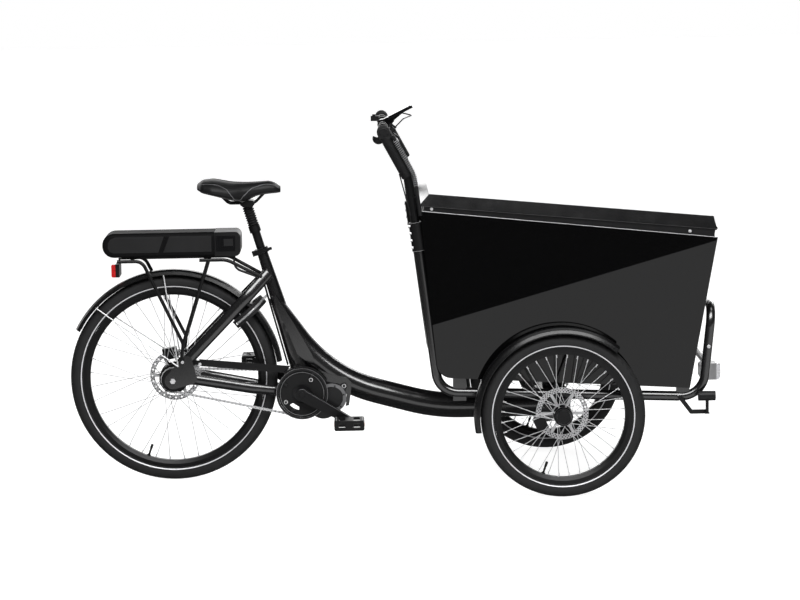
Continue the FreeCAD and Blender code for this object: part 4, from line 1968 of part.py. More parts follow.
def cable_bundle(trim):
    """A wrapped bundle down the right leg, a thin cable behind it and a loop from the display."""
    leg_y = -s.tube_spread
    y = leg_y - s.bundle_offset
    ahead = s.bundle_ahead
    clip_rise = s.bar_bend_rise - s.clip_drop
    bundle = fuse("bundle", [
        tube("bundle_wrap", [upper_spot(s.grip_radius, ahead, y), upper_spot(upper_length, ahead, y),
                             leg_spot(s.bundle_low_rise, y, ahead)], [s.bar_bend], s.bundle_radius),
        cable_clip("bundle_top_clip", upper_spot(s.grip_radius * 2, ZERO, leg_y),
                   upper_spot(s.grip_radius * 2, ahead, y)),
        cable_clip("bundle_low_clip", leg_spot(clip_rise, leg_y), leg_spot(clip_rise, y, ahead)),
    ])
    thin_y = leg_y - s.thin_cable_offset
    back = -s.thin_cable_back
    top = upper_spot(s.grip_length - s.grip_radius, back * 2, thin_y)
    thin = fuse("thin_line", [
        rod("thin_cable", top, leg_spot(s.bundle_low_rise, thin_y, back), s.thin_cable_radius),
        cable_clip("thin_clip", upper_spot(s.grip_length - s.grip_radius, ZERO, leg_y), top),
    ])
    mount_top = brake_spot(s.mount_reach / 2, -s.mount_spread, s.tank_height)
    half = s.display_length / 2
    start = (bar_x + s.display_back + half, -s.display_width / 4,
             bar_z + s.display_lift + half * tangent(s.display_tilt))
    loop_cable = tube("display_cable", [
        start, (bar_x + s.loop_ahead, start[1] * 2, bar_z + s.loop_rise),
        (mount_top[0] + s.loop_rise, -s.mount_spread, mount_top[2] + s.loop_rise), mount_top],
        [s.bundle_radius * 3, s.bundle_radius * 2], s.thin_cable_radius)
    return cut("cable_bundle", group("cable_lines", [bundle, thin, loop_cable]), group("cable_trim", trim))


bar = handlebar()
cable_holders = [bar, grips(bar), display(), brake_mounts()]
for side_name, side_sign in SIDES.items():
    brake_lever(f"brake_lever_{side_name}", side_sign)
cylinder("assist_button", s.button_radius, s.button_length, (button_x, s.switch_spread, button_low), "z")
cable_bundle(cable_holders)


# Every piece that leaves as a file of its own

NODES = (
    "main_frame", "rear_triangle", "motor_casing", "chain_guard", "chain", "rear_axle", "rear_carrier",
    "battery_tray", "rear_light", "rear_fender", "ring_lock", "seat_clamp", "rear_caliper", "frame_cables",
    "battery", "lock_bolt", "seat_lever", "seat_post", "seat_boot", "saddle_rails", "saddle",
    "rear_tyre", "rear_rim", "rear_spokes", "rear_hub", "rear_sprocket", "crank_set", "chainring",
    "pedal_right", "pedal_left", "side_tubes", "bumper", "axle_beam", "box_side_right", "box_side_left",
    "box_front", "box_back", "box_floor", "box_rim", "front_fenders", "front_calipers", "front_lamps", "lid",
    "handlebar", "grips", "display", "brake_mounts", "cable_bundle", "brake_lever_right", "brake_lever_left",
    "assist_button",
    "front_right_tyre", "front_right_rim", "front_right_spokes", "front_right_hub",
    "front_left_tyre", "front_left_rim", "front_left_spokes", "front_left_hub",
)

doc.recompute()
faults = [thing.Label for thing in doc.Objects if "Invalid" in thing.State or "Error" in thing.State]
if faults:
    raise RuntimeError(f"objects with faults: {faults}")
os.makedirs("parts", exist_ok=True)
for node_name in NODES:
    shape = doc.getObject(node_name).Shape
    if shape.isNull() or not shape.isValid():
        raise RuntimeError(f"{node_name} has no valid shape")
    shape.exportStep(f"parts/{node_name}.step")
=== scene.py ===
"""The looks of a cargo tricycle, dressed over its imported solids, in metres and degrees."""

import json
import logging
import math
from collections.abc import Callable, Sequence
from dataclasses import dataclass, field
from enum import Enum
from functools import cache
from typing import Any, Union

import bpy
import numpy as np
from mathutils import Matrix, Vector


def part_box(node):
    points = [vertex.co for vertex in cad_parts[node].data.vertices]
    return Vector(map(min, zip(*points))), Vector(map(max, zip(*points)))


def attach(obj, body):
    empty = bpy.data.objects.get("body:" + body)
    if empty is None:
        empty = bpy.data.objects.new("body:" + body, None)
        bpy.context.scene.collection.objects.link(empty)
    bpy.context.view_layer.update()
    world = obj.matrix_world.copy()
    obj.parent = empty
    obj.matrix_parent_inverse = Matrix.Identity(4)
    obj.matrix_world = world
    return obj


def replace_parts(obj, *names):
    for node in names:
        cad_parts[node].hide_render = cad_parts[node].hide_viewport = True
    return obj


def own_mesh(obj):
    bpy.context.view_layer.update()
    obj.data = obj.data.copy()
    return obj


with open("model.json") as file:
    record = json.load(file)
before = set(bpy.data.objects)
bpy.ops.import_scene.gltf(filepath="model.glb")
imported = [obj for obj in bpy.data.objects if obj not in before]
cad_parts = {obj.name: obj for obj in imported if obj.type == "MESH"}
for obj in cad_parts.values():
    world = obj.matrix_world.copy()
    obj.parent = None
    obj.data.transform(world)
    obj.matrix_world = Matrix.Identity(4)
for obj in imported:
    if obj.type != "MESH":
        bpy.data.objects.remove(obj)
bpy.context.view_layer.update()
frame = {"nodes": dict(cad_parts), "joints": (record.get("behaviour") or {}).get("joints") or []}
log = logging.getLogger("tricycle")

Triple = tuple[float, float, float]
Pair = tuple[float, float]
Pairs = Sequence[Pair]
Number = Union[float, "Value"]
EVEN: Triple = (1, 1, 1)
BLACK: Triple = (0.005, 0.005, 0.0053)
SOFT_BLACK: Triple = (0.006, 0.006, 0.0064)
SHARP_ANGLE = 38.0
BOLT_HEAD: Pairs = ((0, 0.35), (0.5, 0.35), (0.52, 0.98), (0.82, 1.0), (1.0, 0.78), (1.0, -0.2))
REAR_HUB_RADIUS = 0.0475
FRONT_ROTOR_PLACE, FRONT_ROTOR_HALF = 0.365, 0.0016
SIDES = (("right", -1), ("left", 1))
Y_AXIS = Vector((0, 1, 0))


class Value:
    """A socket's value in a shader graph, with arithmetic that adds Math nodes."""

    def __init__(self, graph: "Graph", socket: bpy.types.NodeSocket) -> None:
        """Wraps one output socket of a graph."""
        self.graph = graph
        self.socket = socket

    def _math(self, operation: str, first: Number, second: Number) -> "Value":
        """Adds a Math node on two values."""
        return self.graph.node("ShaderNodeMath", {"operation": operation}, {0: first, 1: second})

    def __add__(self, other: Number) -> "Value":
        """Adds another value."""
        return self._math("ADD", self, other)

    def __radd__(self, other: Number) -> "Value":
        """Adds this value to another."""
        return self._math("ADD", other, self)

    def __sub__(self, other: Number) -> "Value":
        """Takes another value away."""
        return self._math("SUBTRACT", self, other)

    def __rsub__(self, other: Number) -> "Value":
        """Takes this value away from another."""
        return self._math("SUBTRACT", other, self)

    def __mul__(self, other: Number) -> "Value":
        """Multiplies by another value."""
        return self._math("MULTIPLY", self, other)

    def __rmul__(self, other: Number) -> "Value":
        """Multiplies another value by this one."""
        return self._math("MULTIPLY", other, self)

    def smooth(self, low: float, high: float) -> "Value":
        """Rises softly from 0 at low to 1 at high."""
        return self.graph.node("ShaderNodeMapRange", {"interpolation_type": "SMOOTHSTEP"},
                               {0: self, 1: low, 2: high})


class Graph:
    """A node tree that is written as expressions."""

    def __init__(self, tree: bpy.types.NodeTree) -> None:
        """Starts from an empty tree."""
        self.tree = tree
        tree.nodes.clear()

    def node(self, kind: str, settings: dict[str, Any] | None = None,
             inputs: dict[str | int, Any] | None = None, output: int | str = 0) -> Value:
        """Adds any node.

        Args:
            kind: The node's type.
            settings: Its settings, set before its sockets.
            inputs: Values or links of its sockets, by name or number.
            output: The socket that is handed back.

        Returns:
            The chosen output.
        """
        node = self.tree.nodes.new(kind)
        for key, setting in (settings or {}).items():
            setattr(node, key, setting)
        for key, value in (inputs or {}).items():
            if isinstance(value, Value):
                self.tree.links.new(value.socket, node.inputs[key])
            else:
                node.inputs[key].default_value = value
        return Value(self, node.outputs[output] if node.outputs else node.inputs[0])

    def place(self, stretch: Triple = EVEN) -> Value:
        """The place on the piece in metres, stretched along its axes."""
        spot = self.node("ShaderNodeTexCoord", output="Object")
        return spot if stretch == EVEN else self.node(
            "ShaderNodeVectorMath", {"operation": "MULTIPLY"}, {0: spot, 1: stretch})

    def noise(self, scale: float, detail: float = 2.0, stretch: Triple = EVEN) -> Value:
        """Soft noise from 0 to 1, by how many blobs fit in a metre."""
        return self.node("ShaderNodeTexNoise", inputs={
            "Vector": self.place(stretch), "Scale": scale, "Detail": detail})

    def cells(self, scale: float, feature: str = "F1") -> Value:
        """Distance inside a field of cells, by how many fit in a metre."""
        return self.node("ShaderNodeTexVoronoi", {"feature": feature}, {
            "Vector": self.place(), "Scale": scale})

    def blend(self, share: Number, first: Triple, second: Triple) -> Value:
        """Mixes two colours."""
        return self.node("ShaderNodeMix", {"data_type": "RGBA"},
                         {0: share, 6: (*first, 1.0), 7: (*second, 1.0)}, output=2)

    def bump(self, height: Value, depth: float, strength: float = 1.0) -> Value:
        """A surface relief of a depth in metres."""
        return self.node("ShaderNodeBump", inputs={
            "Strength": strength, "Distance": depth, "Height": height})

    def surface(self, sockets: dict[str, Any]) -> None:
        """Ends the graph in a surface shader with these sockets."""
        shader = self.node("ShaderNodeBsdfPrincipled", inputs=sockets)
        self.node("ShaderNodeOutputMaterial", inputs={"Surface": shader})


@dataclass(frozen=True)
class Finish:
    """A finish with its colour and gloss, which paints one material."""

    name: str
    colour: Triple
    roughness: float

    @cache
    def material(self) -> bpy.types.Material:
        """Makes the material at the first call.

        Returns:
            The material of this finish.
        """
        made = bpy.data.materials.new(self.name)
        made.use_nodes = True
        self.paint(Graph(made.node_tree))
        return made

    def tint(self, graph: Graph, share: Value, spread: float) -> Value:
        """Varies the colour by a share, up and down by a spread."""
        dark, light = (tuple(c * (1 + way * spread) for c in self.colour) for way in (-1, 1))
        return graph.blend(share, dark, light)

    def paint(self, graph: Graph) -> None:
        """Draws the finish in a graph."""
        raise NotImplementedError


@dataclass(frozen=True)
class PowderCoat(Finish):
    """Baked powder on metal: fine orange peel and a faint haze."""

    peel_scale: float = 700.0
    peel_depth: float = 0.00002
    gloss: float = 0.4
    gloss_roughness: float = 0.19
    coat_index: float = 1.5
    haze_scale: float = 9.0
    haze_spread: float = 0.22

    def paint(self, graph: Graph) -> None:
        """Draws the peel and the haze.

        Args:
            graph: The material's graph.
        """
        peel = graph.noise(self.peel_scale)
        haze = graph.noise(self.haze_scale, 4.0)
        graph.surface({
            "Base Color": self.tint(graph, haze, self.haze_spread),
            "Roughness": (haze - 0.5) * 0.14 + (peel - 0.5) * 0.06 + self.roughness,
            "Specular IOR Level": 0.12, "Coat Weight": self.gloss,
            "Coat Roughness": self.gloss_roughness, "Coat IOR": self.coat_index,
            "Normal": graph.bump(peel, self.peel_depth)})


@dataclass(frozen=True)
class GlossSheet(Finish):
    """Polished laminate with a few specks of dust."""

    dust_scale: float = 420.0
    dust_pale: float = 0.012
    haze_scale: float = 3.0

    def paint(self, graph: Graph) -> None:
        """Draws the dust on a mirror-like sheet.

        Args:
            graph: The material's graph.
        """
        dust = graph.noise(self.dust_scale, 3.0).smooth(0.72, 0.86)
        haze = graph.noise(self.haze_scale, 3.0)
        graph.surface({
            "Base Color": graph.blend(dust, self.colour, tuple(c + self.dust_pale for c in self.colour)),
            "Roughness": haze * 0.006 + dust * 0.06 + self.roughness,
            "Specular IOR Level": 0.5})


@dataclass(frozen=True)
class Moulded(Finish):
    """Moulded plastic with a spark-eroded grain."""

    sheen: float = 0.25
    grain_scale: float = 1500.0
    grain_depth: float = 0.00003
    cloud_scale: float = 24.0
    cloud_spread: float = 0.18

    def paint(self, graph: Graph) -> None:
        """Draws the grain and its gloss.

        Args:
            graph: The material's graph.
        """
        grain = graph.cells(self.grain_scale)
        cloud = graph.noise(self.cloud_scale, 3.0)
        graph.surface({
            "Base Color": self.tint(graph, cloud, self.cloud_spread),
            "Roughness": (cloud - 0.5) * 0.12 + grain * 0.06 + self.roughness,
            "Specular IOR Level": self.sheen, "Normal": graph.bump(grain, self.grain_depth, 0.6)})


@dataclass(frozen=True)
class Metal(Finish):
    """Drawn, turned or brushed metal with lines along one axis."""

    lines: Triple = (40.0, 900.0, 900.0)
    line_depth: float = 0.00002
    shine: float = 0.5
    film_scale: float = 38.0
    film_spread: float = 0.2

    def paint(self, graph: Graph) -> None:
        """Draws the lines and a thin film of oil.

        Args:
            graph: The material's graph.
        """
        line = graph.noise(1.0, 2.0, self.lines)
        film = graph.noise(self.film_scale, 3.0)
        graph.surface({
            "Base Color": self.tint(graph, film, self.film_spread), "Metallic": self.shine,
            "Specular IOR Level": 0.3,
            "Roughness": (line - 0.5) * 0.22 + (film - 0.5) * 0.12 + self.roughness,
            "Normal": graph.bump(line, self.line_depth, 0.5)})


@dataclass(frozen=True)
class RubberSkin(Finish):
    """Matte rubber with pores and a dusty bloom."""

    pore_scale: float = 1800.0
    pore_depth: float = 0.00004
    bloom_scale: float = 30.0
    bloom: float = 0.3

    def paint(self, graph: Graph) -> None:
        """Draws the pores and the bloom.

        Args:
            graph: The material's graph.
        """
        pores = graph.noise(self.pore_scale, 2.0)
        dust = graph.noise(self.bloom_scale, 5.0)
        graph.surface({
            "Base Color": self.tint(graph, dust, self.bloom),
            "Roughness": dust * 0.18 + self.roughness,
            "Specular IOR Level": 0.25, "Normal": graph.bump(pores, self.pore_depth, 0.5)})


@dataclass(frozen=True)
class Hide(Finish):
    """Pebbled cover with a slight sheen on its high spots."""

    pebble_scale: float = 620.0
    pebble_depth: float = 0.0002
    rub_scale: float = 14.0
    rub_spread: float = 0.25

    def paint(self, graph: Graph) -> None:
        """Draws the pebbles.

        Args:
            graph: The material's graph.
        """
        pebble = graph.cells(self.pebble_scale, "SMOOTH_F1")
        rub = graph.noise(self.rub_scale, 3.0)
        graph.surface({
            "Base Color": self.tint(graph, rub, self.rub_spread),
            "Roughness": (rub - 0.5) * 0.2 + pebble * 0.12 + self.roughness,
            "Specular IOR Level": 0.25, "Normal": graph.bump(pebble, self.pebble_depth, 0.6)})


@dataclass(frozen=True)
class Lens(Finish):
    """A ribbed lamp lens over its reflector."""

    rib_scale: float = 260.0
    rib_depth: float = 0.0003
    cell_scale: float = 220.0
    cell_spread: float = 0.3

    def paint(self, graph: Graph) -> None:
        """Draws the moulded ribs.

        Args:
            graph: The material's graph.
        """
        rib = graph.node("ShaderNodeTexWave", {"bands_direction": "Y"}, {
            "Vector": graph.place(), "Scale": self.rib_scale, "Distortion": 0.0}, output="Fac")
        cell = graph.cells(self.cell_scale)
        graph.surface({
            "Base Color": self.tint(graph, cell, self.cell_spread),
            "Roughness": cell * 0.1 + self.roughness,
            "Specular IOR Level": 0.6, "Coat Weight": 0.6, "Coat Roughness": 0.03,
            "Normal": graph.bump(rib, self.rib_depth, 0.5)})


@dataclass(frozen=True)
class BeadFilm(Finish):
    """A reflective strip of glass beads."""

    bead_scale: float = 2600.0
    bead_spread: float = 0.16

    def paint(self, graph: Graph) -> None:
        """Draws the beads' sparkle.

        Args:
            graph: The material's graph.
        """
        bead = graph.cells(self.bead_scale)
        graph.surface({
            "Base Color": self.tint(graph, bead, self.bead_spread), "Metallic": bead * 0.4 + 0.1,
            "Roughness": bead * 0.2 + self.roughness})


class Look(Enum):
    """The finishes of the tricycle."""

    FRAME = PowderCoat("frame_powder_coat", BLACK, 0.36, gloss=0.9, coat_index=1.9)
    COAT = PowderCoat("matte_powder_coat", BLACK, 0.44, gloss=0.3)
    CAST = PowderCoat("motor_cast", (0.009, 0.009, 0.0095), 0.42, peel_scale=380.0, peel_depth=0.00006)
    ALLOY = Metal("black_anodised", (0.012, 0.012, 0.0125), 0.36)
    STEEL = Metal("bright_steel", (0.74, 0.74, 0.75), 0.28)
    SPOKE = Metal("spoke_wire", (0.55, 0.55, 0.56), 0.3)
    ROTOR = Metal("rotor_steel", (0.5, 0.5, 0.51), 0.34, lines=(500.0, 40.0, 500.0), shine=0.35)
    CHAIN = Metal("chain_links", (0.55, 0.55, 0.56), 0.34, shine=0.4)
    SPROCKET = Metal("ring_steel", (0.03, 0.03, 0.031), 0.36, shine=0.7)
    COG = Metal("cog_steel", (0.6, 0.6, 0.61), 0.34, shine=0.4)
    # Pale grey metal: the head lamp's silver body and the clamps' rings, and thin lines painted as
    # highlights on the cranks, the chain guard and the side panels.
    PALE_METAL_AND_HIGHLIGHT = Metal("pale_metal_and_painted_highlight", (0.26, 0.26, 0.265), 0.32)
    COVER_RING = Metal("motor_cover", (0.2, 0.2, 0.205), 0.4)
    TYRE = RubberSkin("tyre_rubber", (0.013, 0.013, 0.0135), 0.62)
    RUBBER = RubberSkin("soft_rubber", SOFT_BLACK, 0.55)
    CABLE = RubberSkin("cable_jacket", SOFT_BLACK, 0.4)
    WRAP = RubberSkin("spiral_wrap", (0.2, 0.2, 0.205), 0.45)
    PIPING = RubberSkin("saddle_piping", (0.13, 0.13, 0.135), 0.45)
    PLASTIC = Moulded("moulded_plastic", SOFT_BLACK, 0.4)
    FENDER = Moulded("fender_plastic", BLACK, 0.24, sheen=0.45, grain_depth=0.00001)
    BATTERY = Moulded("battery_shell", BLACK, 0.5, sheen=0.04, grain_depth=0.00001)
    SATIN = Moulded("battery_panel", (0.010, 0.010, 0.0105), 0.46)
    LID = Moulded("lid_shell", (0.004, 0.004, 0.0043), 0.16, sheen=0.5, grain_depth=0.000006)
    GLOSS = GlossSheet("gloss_plastic", (0.005, 0.005, 0.0055), 0.1)
    PANEL = GlossSheet("panel_sheet", (0.0012, 0.0012, 0.0013), 0.006)
    SCREEN = GlossSheet("screen_glass", (0.004, 0.004, 0.005), 0.05)
    RED = Lens("red_lens", (0.42, 0.012, 0.012), 0.12)
    CLEAR = Lens("clear_lens", (0.5, 0.5, 0.52), 0.1)
    AMBER = Lens("amber_reflector", (0.7, 0.22, 0.02), 0.15)
    LINE = BeadFilm("reflective_line", (0.62, 0.62, 0.64), 0.35)
    SADDLE = Hide("saddle_cover", SOFT_BLACK, 0.42)

    def material(self) -> bpy.types.Material:
        """The material of this finish."""
        return self.value.material()


DRESSED: dict[Look, tuple[str, ...]] = {
    Look.FRAME: ("main_frame", "rear_triangle", "bumper", "axle_beam"),
    Look.COAT: ("rear_carrier", "handlebar", "box_floor"),
    Look.ALLOY: ("rear_rim", "front_right_rim", "front_left_rim", "seat_clamp", "seat_lever", "seat_post",
                 "saddle_rails", "rear_caliper", "front_calipers", "crank_set", "brake_lever_right",
                 "brake_lever_left"),
    Look.STEEL: ("lock_bolt",),
    Look.SPOKE: ("rear_spokes", "front_right_spokes", "front_left_spokes"),
    Look.SPROCKET: ("chainring",),
    Look.COG: ("rear_sprocket",),
    Look.PLASTIC: ("chain_guard", "battery_tray", "box_rim", "brake_mounts", "pedal_right", "pedal_left",
                   "assist_button"),
    Look.FENDER: ("front_fenders",),
    Look.BATTERY: ("battery",),
    Look.LID: ("lid",),
    Look.GLOSS: ("display",),
    Look.PANEL: ("box_side_right", "box_side_left", "box_front", "box_back"),
    Look.CABLE: ("frame_cables", "cable_bundle"),
    Look.RUBBER: ("ring_lock",),
}


def fixed(x: float, y: float, z: float) -> Any:
    """A dataclass field whose default is a place."""
    return field(default_factory=lambda: Vector((x, y, z)))


def polar(turn: float, radius: float = 1.0, across: float = 0.0) -> Vector:
    """A place round the Y axis, at a turn in degrees up from +X."""
    angle = math.radians(turn)
    return Vector((math.cos(angle) * radius, across, math.sin(angle) * radius))


def arc(middle: Vector, radius: float, first: float, last: float, steps: int) -> list[Vector]:
    """Places along an arc round the Y axis, from one turn to another."""
    return [middle + polar(turn, radius) for turn in np.linspace(first, last, steps + 1)]


def solid(node: str) -> bpy.types.Mesh:
    """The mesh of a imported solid."""
    return frame["nodes"][node].data


def corner(node: str, way: Triple) -> Vector:
    """The corner of a solid that lies furthest along a direction."""
    return max((v.co for v in solid(node).vertices), key=Vector(way).dot).copy()


def joint(name: str, key: str = "pos_m") -> Vector:
    """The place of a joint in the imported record, or its direction under the key axis."""
    return Vector(next(j[key] for j in frame["joints"] if j["name"] == name))


def zone(node: str, looks: Sequence[Look], choose: Callable[[Vector], int] | None = None) -> None:
    """Gives a solid its finishes.

    Args:
        node: The solid's name.
        looks: Its finishes.
        choose: Which finish a face has, from the face's middle, where there are several.
    """
    mesh = solid(node)
    mesh.materials.clear()
    for look in looks:
        mesh.materials.append(look.material())
    if choose:
        for face in mesh.polygons:
            face.material_index = choose(face.center)


class Shape:
    """Collects corners and faces of one mesh."""

    def __init__(self) -> None:
        """Starts empty."""
        self.points: list[Vector] = []
        self.faces: list[tuple[int, ...]] = []

    def grid(self, rows: Sequence[Sequence[Vector]], close_rows: bool = False,
             close_columns: bool = False) -> None:
        """Adds a net of points as faces.

        Args:
            rows: The points, row by row.
            close_rows: Whether the last row joins the first.
            close_columns: Whether every row is a ring.
        """
        base, height, width = len(self.points), len(rows), len(rows[0])
        for row in rows:
            self.points.extend(row)
        for i in range(height if close_rows else height - 1):
            here, there = base + i * width, base + (i + 1) % height * width
            for j in range(width if close_columns else width - 1):
                k = (j + 1) % width
                self.faces.append((here + j, here + k, there + k, there + j))

    def cap(self, ring: Sequence[Vector]) -> None:
        """Adds one flat face."""
        self.faces.append(tuple(range(len(self.points), len(self.points) + len(ring))))
        self.points.extend(ring)

    def loft(self, rings: Sequence[Sequence[Vector]], start: bool = True) -> None:
        """Joins rings into a body with a closed end.

        Args:
            rings: The rings in order.
            start: Whether the first ring is closed too.
        """
        self.grid(rings, close_columns=True)
        if start:
            self.cap(rings[0][::-1])
        self.cap(rings[-1])

    def lathe(self, profile: Pairs, origin: Vector, axis: Vector, steps: int, closed: bool = False) -> None:
        """Turns a profile round an axis.

        Args:
            profile: Radius and height of each point.
            origin: Where the height is zero.
            axis: The direction of the height.
            steps: How many sides the turned form has.
            closed: Whether the profile is a ring.
        """
        turn = axis.to_track_quat("Z", "Y").to_matrix()
        rows = []
        for step in range(steps):
            angle = math.tau * step / steps
            side = turn @ Vector((math.cos(angle), math.sin(angle), 0))
            rows.append([origin + side * radius + axis * height for radius, height in profile])
        self.grid(rows, close_rows=True, close_columns=closed)

    def run(self, path: Sequence[Vector], radius: float, sides: int, closed: bool = False) -> None:
        """Lays a round line along a path.

        Args:
            path: The line's middle.
            radius: The line's radius.
            sides: How many sides its section has.
            closed: Whether the path is a ring.
        """
        rows = []
        count = len(path)
        normal = None
        for index, spot in enumerate(path):
            ahead = path[(index + 1) % count] if closed or index + 1 < count else spot
            behind = path[index - 1] if closed or index else spot
            tangent = (ahead - behind).normalized()
            if normal is None:
                normal = tangent.orthogonal().normalized()
            normal = (normal - tangent * normal.dot(tangent)).normalized()
            other = tangent.cross(normal)
            rows.append([spot + (normal * math.cos(a) + other * math.sin(a)) * radius
                         for a in (math.tau * k / sides for k in range(sides))])
        if closed:
            self.grid(rows, close_rows=True, close_columns=True)
        else:
            self.loft(rows)

    def bolt(self, spot: Vector, axis: Vector, radius: float, height: float) -> None:
        """Adds a socket-head bolt with a chamfer and its recess."""
        self.lathe([(radius * r, height * h) for r, h in BOLT_HEAD], spot, axis, 12)

    def block(self, middle: Vector, half: Triple, round_off: float) -> None:
        """Adds a box with chamfered long edges along X.

        Args:
            middle: The box's middle.
            half: Half its size.
            round_off: The width of the chamfer.
        """
        ring = []
        for dy, dz in ((1, 1), (-1, 1), (-1, -1), (1, -1)):
            y, z = middle.y + dy * half[1], middle.z + dz * half[2]
            pair = (y, z - dz * round_off), (y - dy * round_off, z)
            ring.extend(pair if dy * dz > 0 else pair[::-1])
        self.loft([[Vector((x, y, z)) for y, z in ring] for x in (middle.x - half[0], middle.x + half[0])])

    def make(self, name: str, look: Look, body: str, slot: str, smooth: bool = True) -> bpy.types.Object:
        """Turns the collected faces into a piece that rides on a body.

        Args:
            name: The piece's name.
            look: Its finish.
            body: The body that carries it.
            slot: Not used; it names a material slot of the record.
            smooth: Whether its faces shade smoothly up to sharp edges.

        Returns:
            The new piece.
        """
        mesh = bpy.data.meshes.new(name)
        mesh.from_pydata([tuple(p) for p in self.points], [], self.faces)
        mesh.validate()
        mesh.materials.append(look.material())
        thing = bpy.data.objects.new(name, mesh)
        bpy.context.scene.collection.objects.link(thing)
        if smooth:
            mesh.shade_smooth()
            mesh.set_sharp_from_angle(angle=math.radians(SHARP_ANGLE))
        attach(thing, body)
        log.info("%s: %d faces", name, len(mesh.polygons))
        return thing


@dataclass
class Wheel:
    """A wheel's tyre with its tread and reflective lines, nipples, valve and hub finish."""

    name: str
    sipes: int
    hub_split: Callable[[Vector], int]
    half_section: float = 0.0235
    bead_depth: float = 0.040
    groove: float = 0.0018
    tread_edges: tuple[float, ...] = (3.0, 9.0, 13.5, 54.0, 58.0)
    tread_leans: tuple[float, ...] = (
        3, 8.8, 9.2, 13.3, 13.7, 20, 27, 34, 41, 48, 53.8, 54.2, 57.8, 58.2)
    sipe_steps: int = 6
    sipe_slant: float = 0.016
    sipe_share: float = 0.26
    notch_share: float = 0.13
    wall_rings: Pair = (86.0, 108.0)
    wall_ring_turns: float = 24.0
    wall_ring_depth: float = 0.0004
    line_leans: Pair = (113.0, 121.5)
    line_lift: float = 0.0004
    rim_depth: float = 0.062
    spoke_count: int = 36
    first_spoke: float = 40.5
    nipple_across: float = 0.003
    nipple: Pairs = ((0.0013, 0.011), (0.0019, 0.010), (0.0019, 0.003), (0.0027, 0.002), (0.0027, -0.002))
    valve_gap: int = 21
    valve: Pairs = ((0, 0.038), (0.0035, 0.038), (0.0042, 0.036), (0.0042, 0.024), (0.0034, 0.0235),
                    (0.0034, 0.004), (0.0062, 0.003), (0.0062, -0.002))
    rotor_inner: float = 0.0645
    rotor_rows: tuple[tuple[float, int], ...] = ((0.068, 48), (0.0725, 24), (0.077, 48))
    rotor_disc: Pairs = ((0.0, 0.00015), (0.0020, 0.00015), (0.0022, -0.0002))
    body: str = field(init=False)
    axle: Vector = field(init=False)
    radius: float = field(init=False)

    def __post_init__(self) -> None:
        """Reads the wheel's place and size from the frame."""
        self.body = f"{self.name}_wheel"
        self.axle = joint(f"{self.body}_spin")
        low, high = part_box(f"{self.name}_tyre")
        self.axle.y = (low.y + high.y) / 2
        self.radius = (high.z - low.z) / 2

    def section(self, lean: float, sink: float) -> Pair:
        """Radius and sideways place on the tyre's round section, by degrees from its crown."""
        angle, reach = math.radians(lean), self.half_section - sink
        return self.radius - self.half_section + reach * math.cos(angle), reach * math.sin(angle)

    def sink(self, lean: float, phase: float) -> float:
        """How deep the tread is cut.

        Args:
            lean: Degrees from the crown.
            phase: How many sipes the place lies round the tyre.

        Returns:
            The depth under the round section.
        """
        side, shift = abs(lean), 0.5 if lean > 0 else 0.0
        rib_middle, rib, groove, block, ledge = self.tread_edges
        if rib < side < groove:
            return self.groove
        if side < rib:
            notch = (phase + shift) * 0.5 % 1
            return self.groove * 0.7 if notch < self.notch_share and side > rib_middle else 0.0
        if side < block:
            slant = (phase + side * self.sipe_slant + shift) % 1
            return self.groove if slant < self.sipe_share else 0.0
        if side < ledge:
            return self.groove * 0.5
        first, last = self.wall_rings
        wave = 0.5 + 0.5 * math.cos(math.radians(side * self.wall_ring_turns))
        return self.wall_ring_depth * wave if first < side < last else 0.0

    def tyre(self) -> None:
        """A round casing with shoulder blocks, centre ribs and moulded rings."""
        edge = math.degrees(math.acos((self.half_section - self.bead_depth) / self.half_section))
        leans = sorted({*np.linspace(-edge, edge, 41),
                        *(side * lean for side in (-1, 1) for lean in self.tread_leans)})
        steps = self.sipes * self.sipe_steps
        shape, lines = Shape(), Shape()
        rows = []
        for step in range(steps):
            phase = step / self.sipe_steps
            rows.append([self.axle + polar(360 * step / steps, *self.section(lean, self.sink(lean, phase)))
                         for lean in leans])
        shape.grid(rows, close_rows=True, close_columns=True)
        made = shape.make(f"{self.name}_tread", Look.TYRE, self.body, "tyre")
        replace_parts(made, f"{self.name}_tyre")
        for side in (-1, 1):
            profile = [self.section(side * lean, -self.line_lift)
                       for lean in np.linspace(*self.line_leans, 5)]
            lines.lathe(profile, self.axle, Y_AXIS, 160)
        lines.make(f"{self.name}_reflective_lines", Look.LINE, self.body, "tyre")

    def nipples(self) -> None:
        """Spoke nipples at the rim's bed and the valve between two of them."""
        bed = self.radius - self.rim_depth
        gap = 360 / self.spoke_count
        shape, valve = Shape(), Shape()
        for number in range(self.spoke_count):
            turn = self.first_spoke + gap * (number + 0.5)
            across = self.nipple_across if number % 2 else -self.nipple_across
            shape.lathe(self.nipple, self.axle + polar(turn, bed, across), polar(turn + 180), 8)
        shape.make(f"{self.name}_nipples", Look.STEEL, self.body, "spoke_steel")
        turn = self.first_spoke + gap * self.valve_gap
        valve.lathe(self.valve, self.axle + polar(turn, bed), polar(turn + 180), 14)
        valve.make(f"{self.name}_valve", Look.RUBBER, self.body, "rubber")

    def rotor_hole_shade(self) -> None:
        """Thin dark discs painted as the shade in fine holes, in three rows on both faces of the brake
        rotor.
        """
        points = [v.co for v in solid(f"{self.name}_hub").vertices]
        rim = [p.y for p in points if math.hypot(p.x - self.axle.x, p.z - self.axle.z) > self.rotor_inner]
        shape = Shape()
        for side, face in ((-1, min(rim)), (1, max(rim))):
            for radius, count in self.rotor_rows:
                for number in range(count):
                    spot = self.axle + polar(360 * (number + 0.5) / count, radius)
                    spot.y = face
                    shape.lathe(self.rotor_disc, spot, Y_AXIS * side, 10)
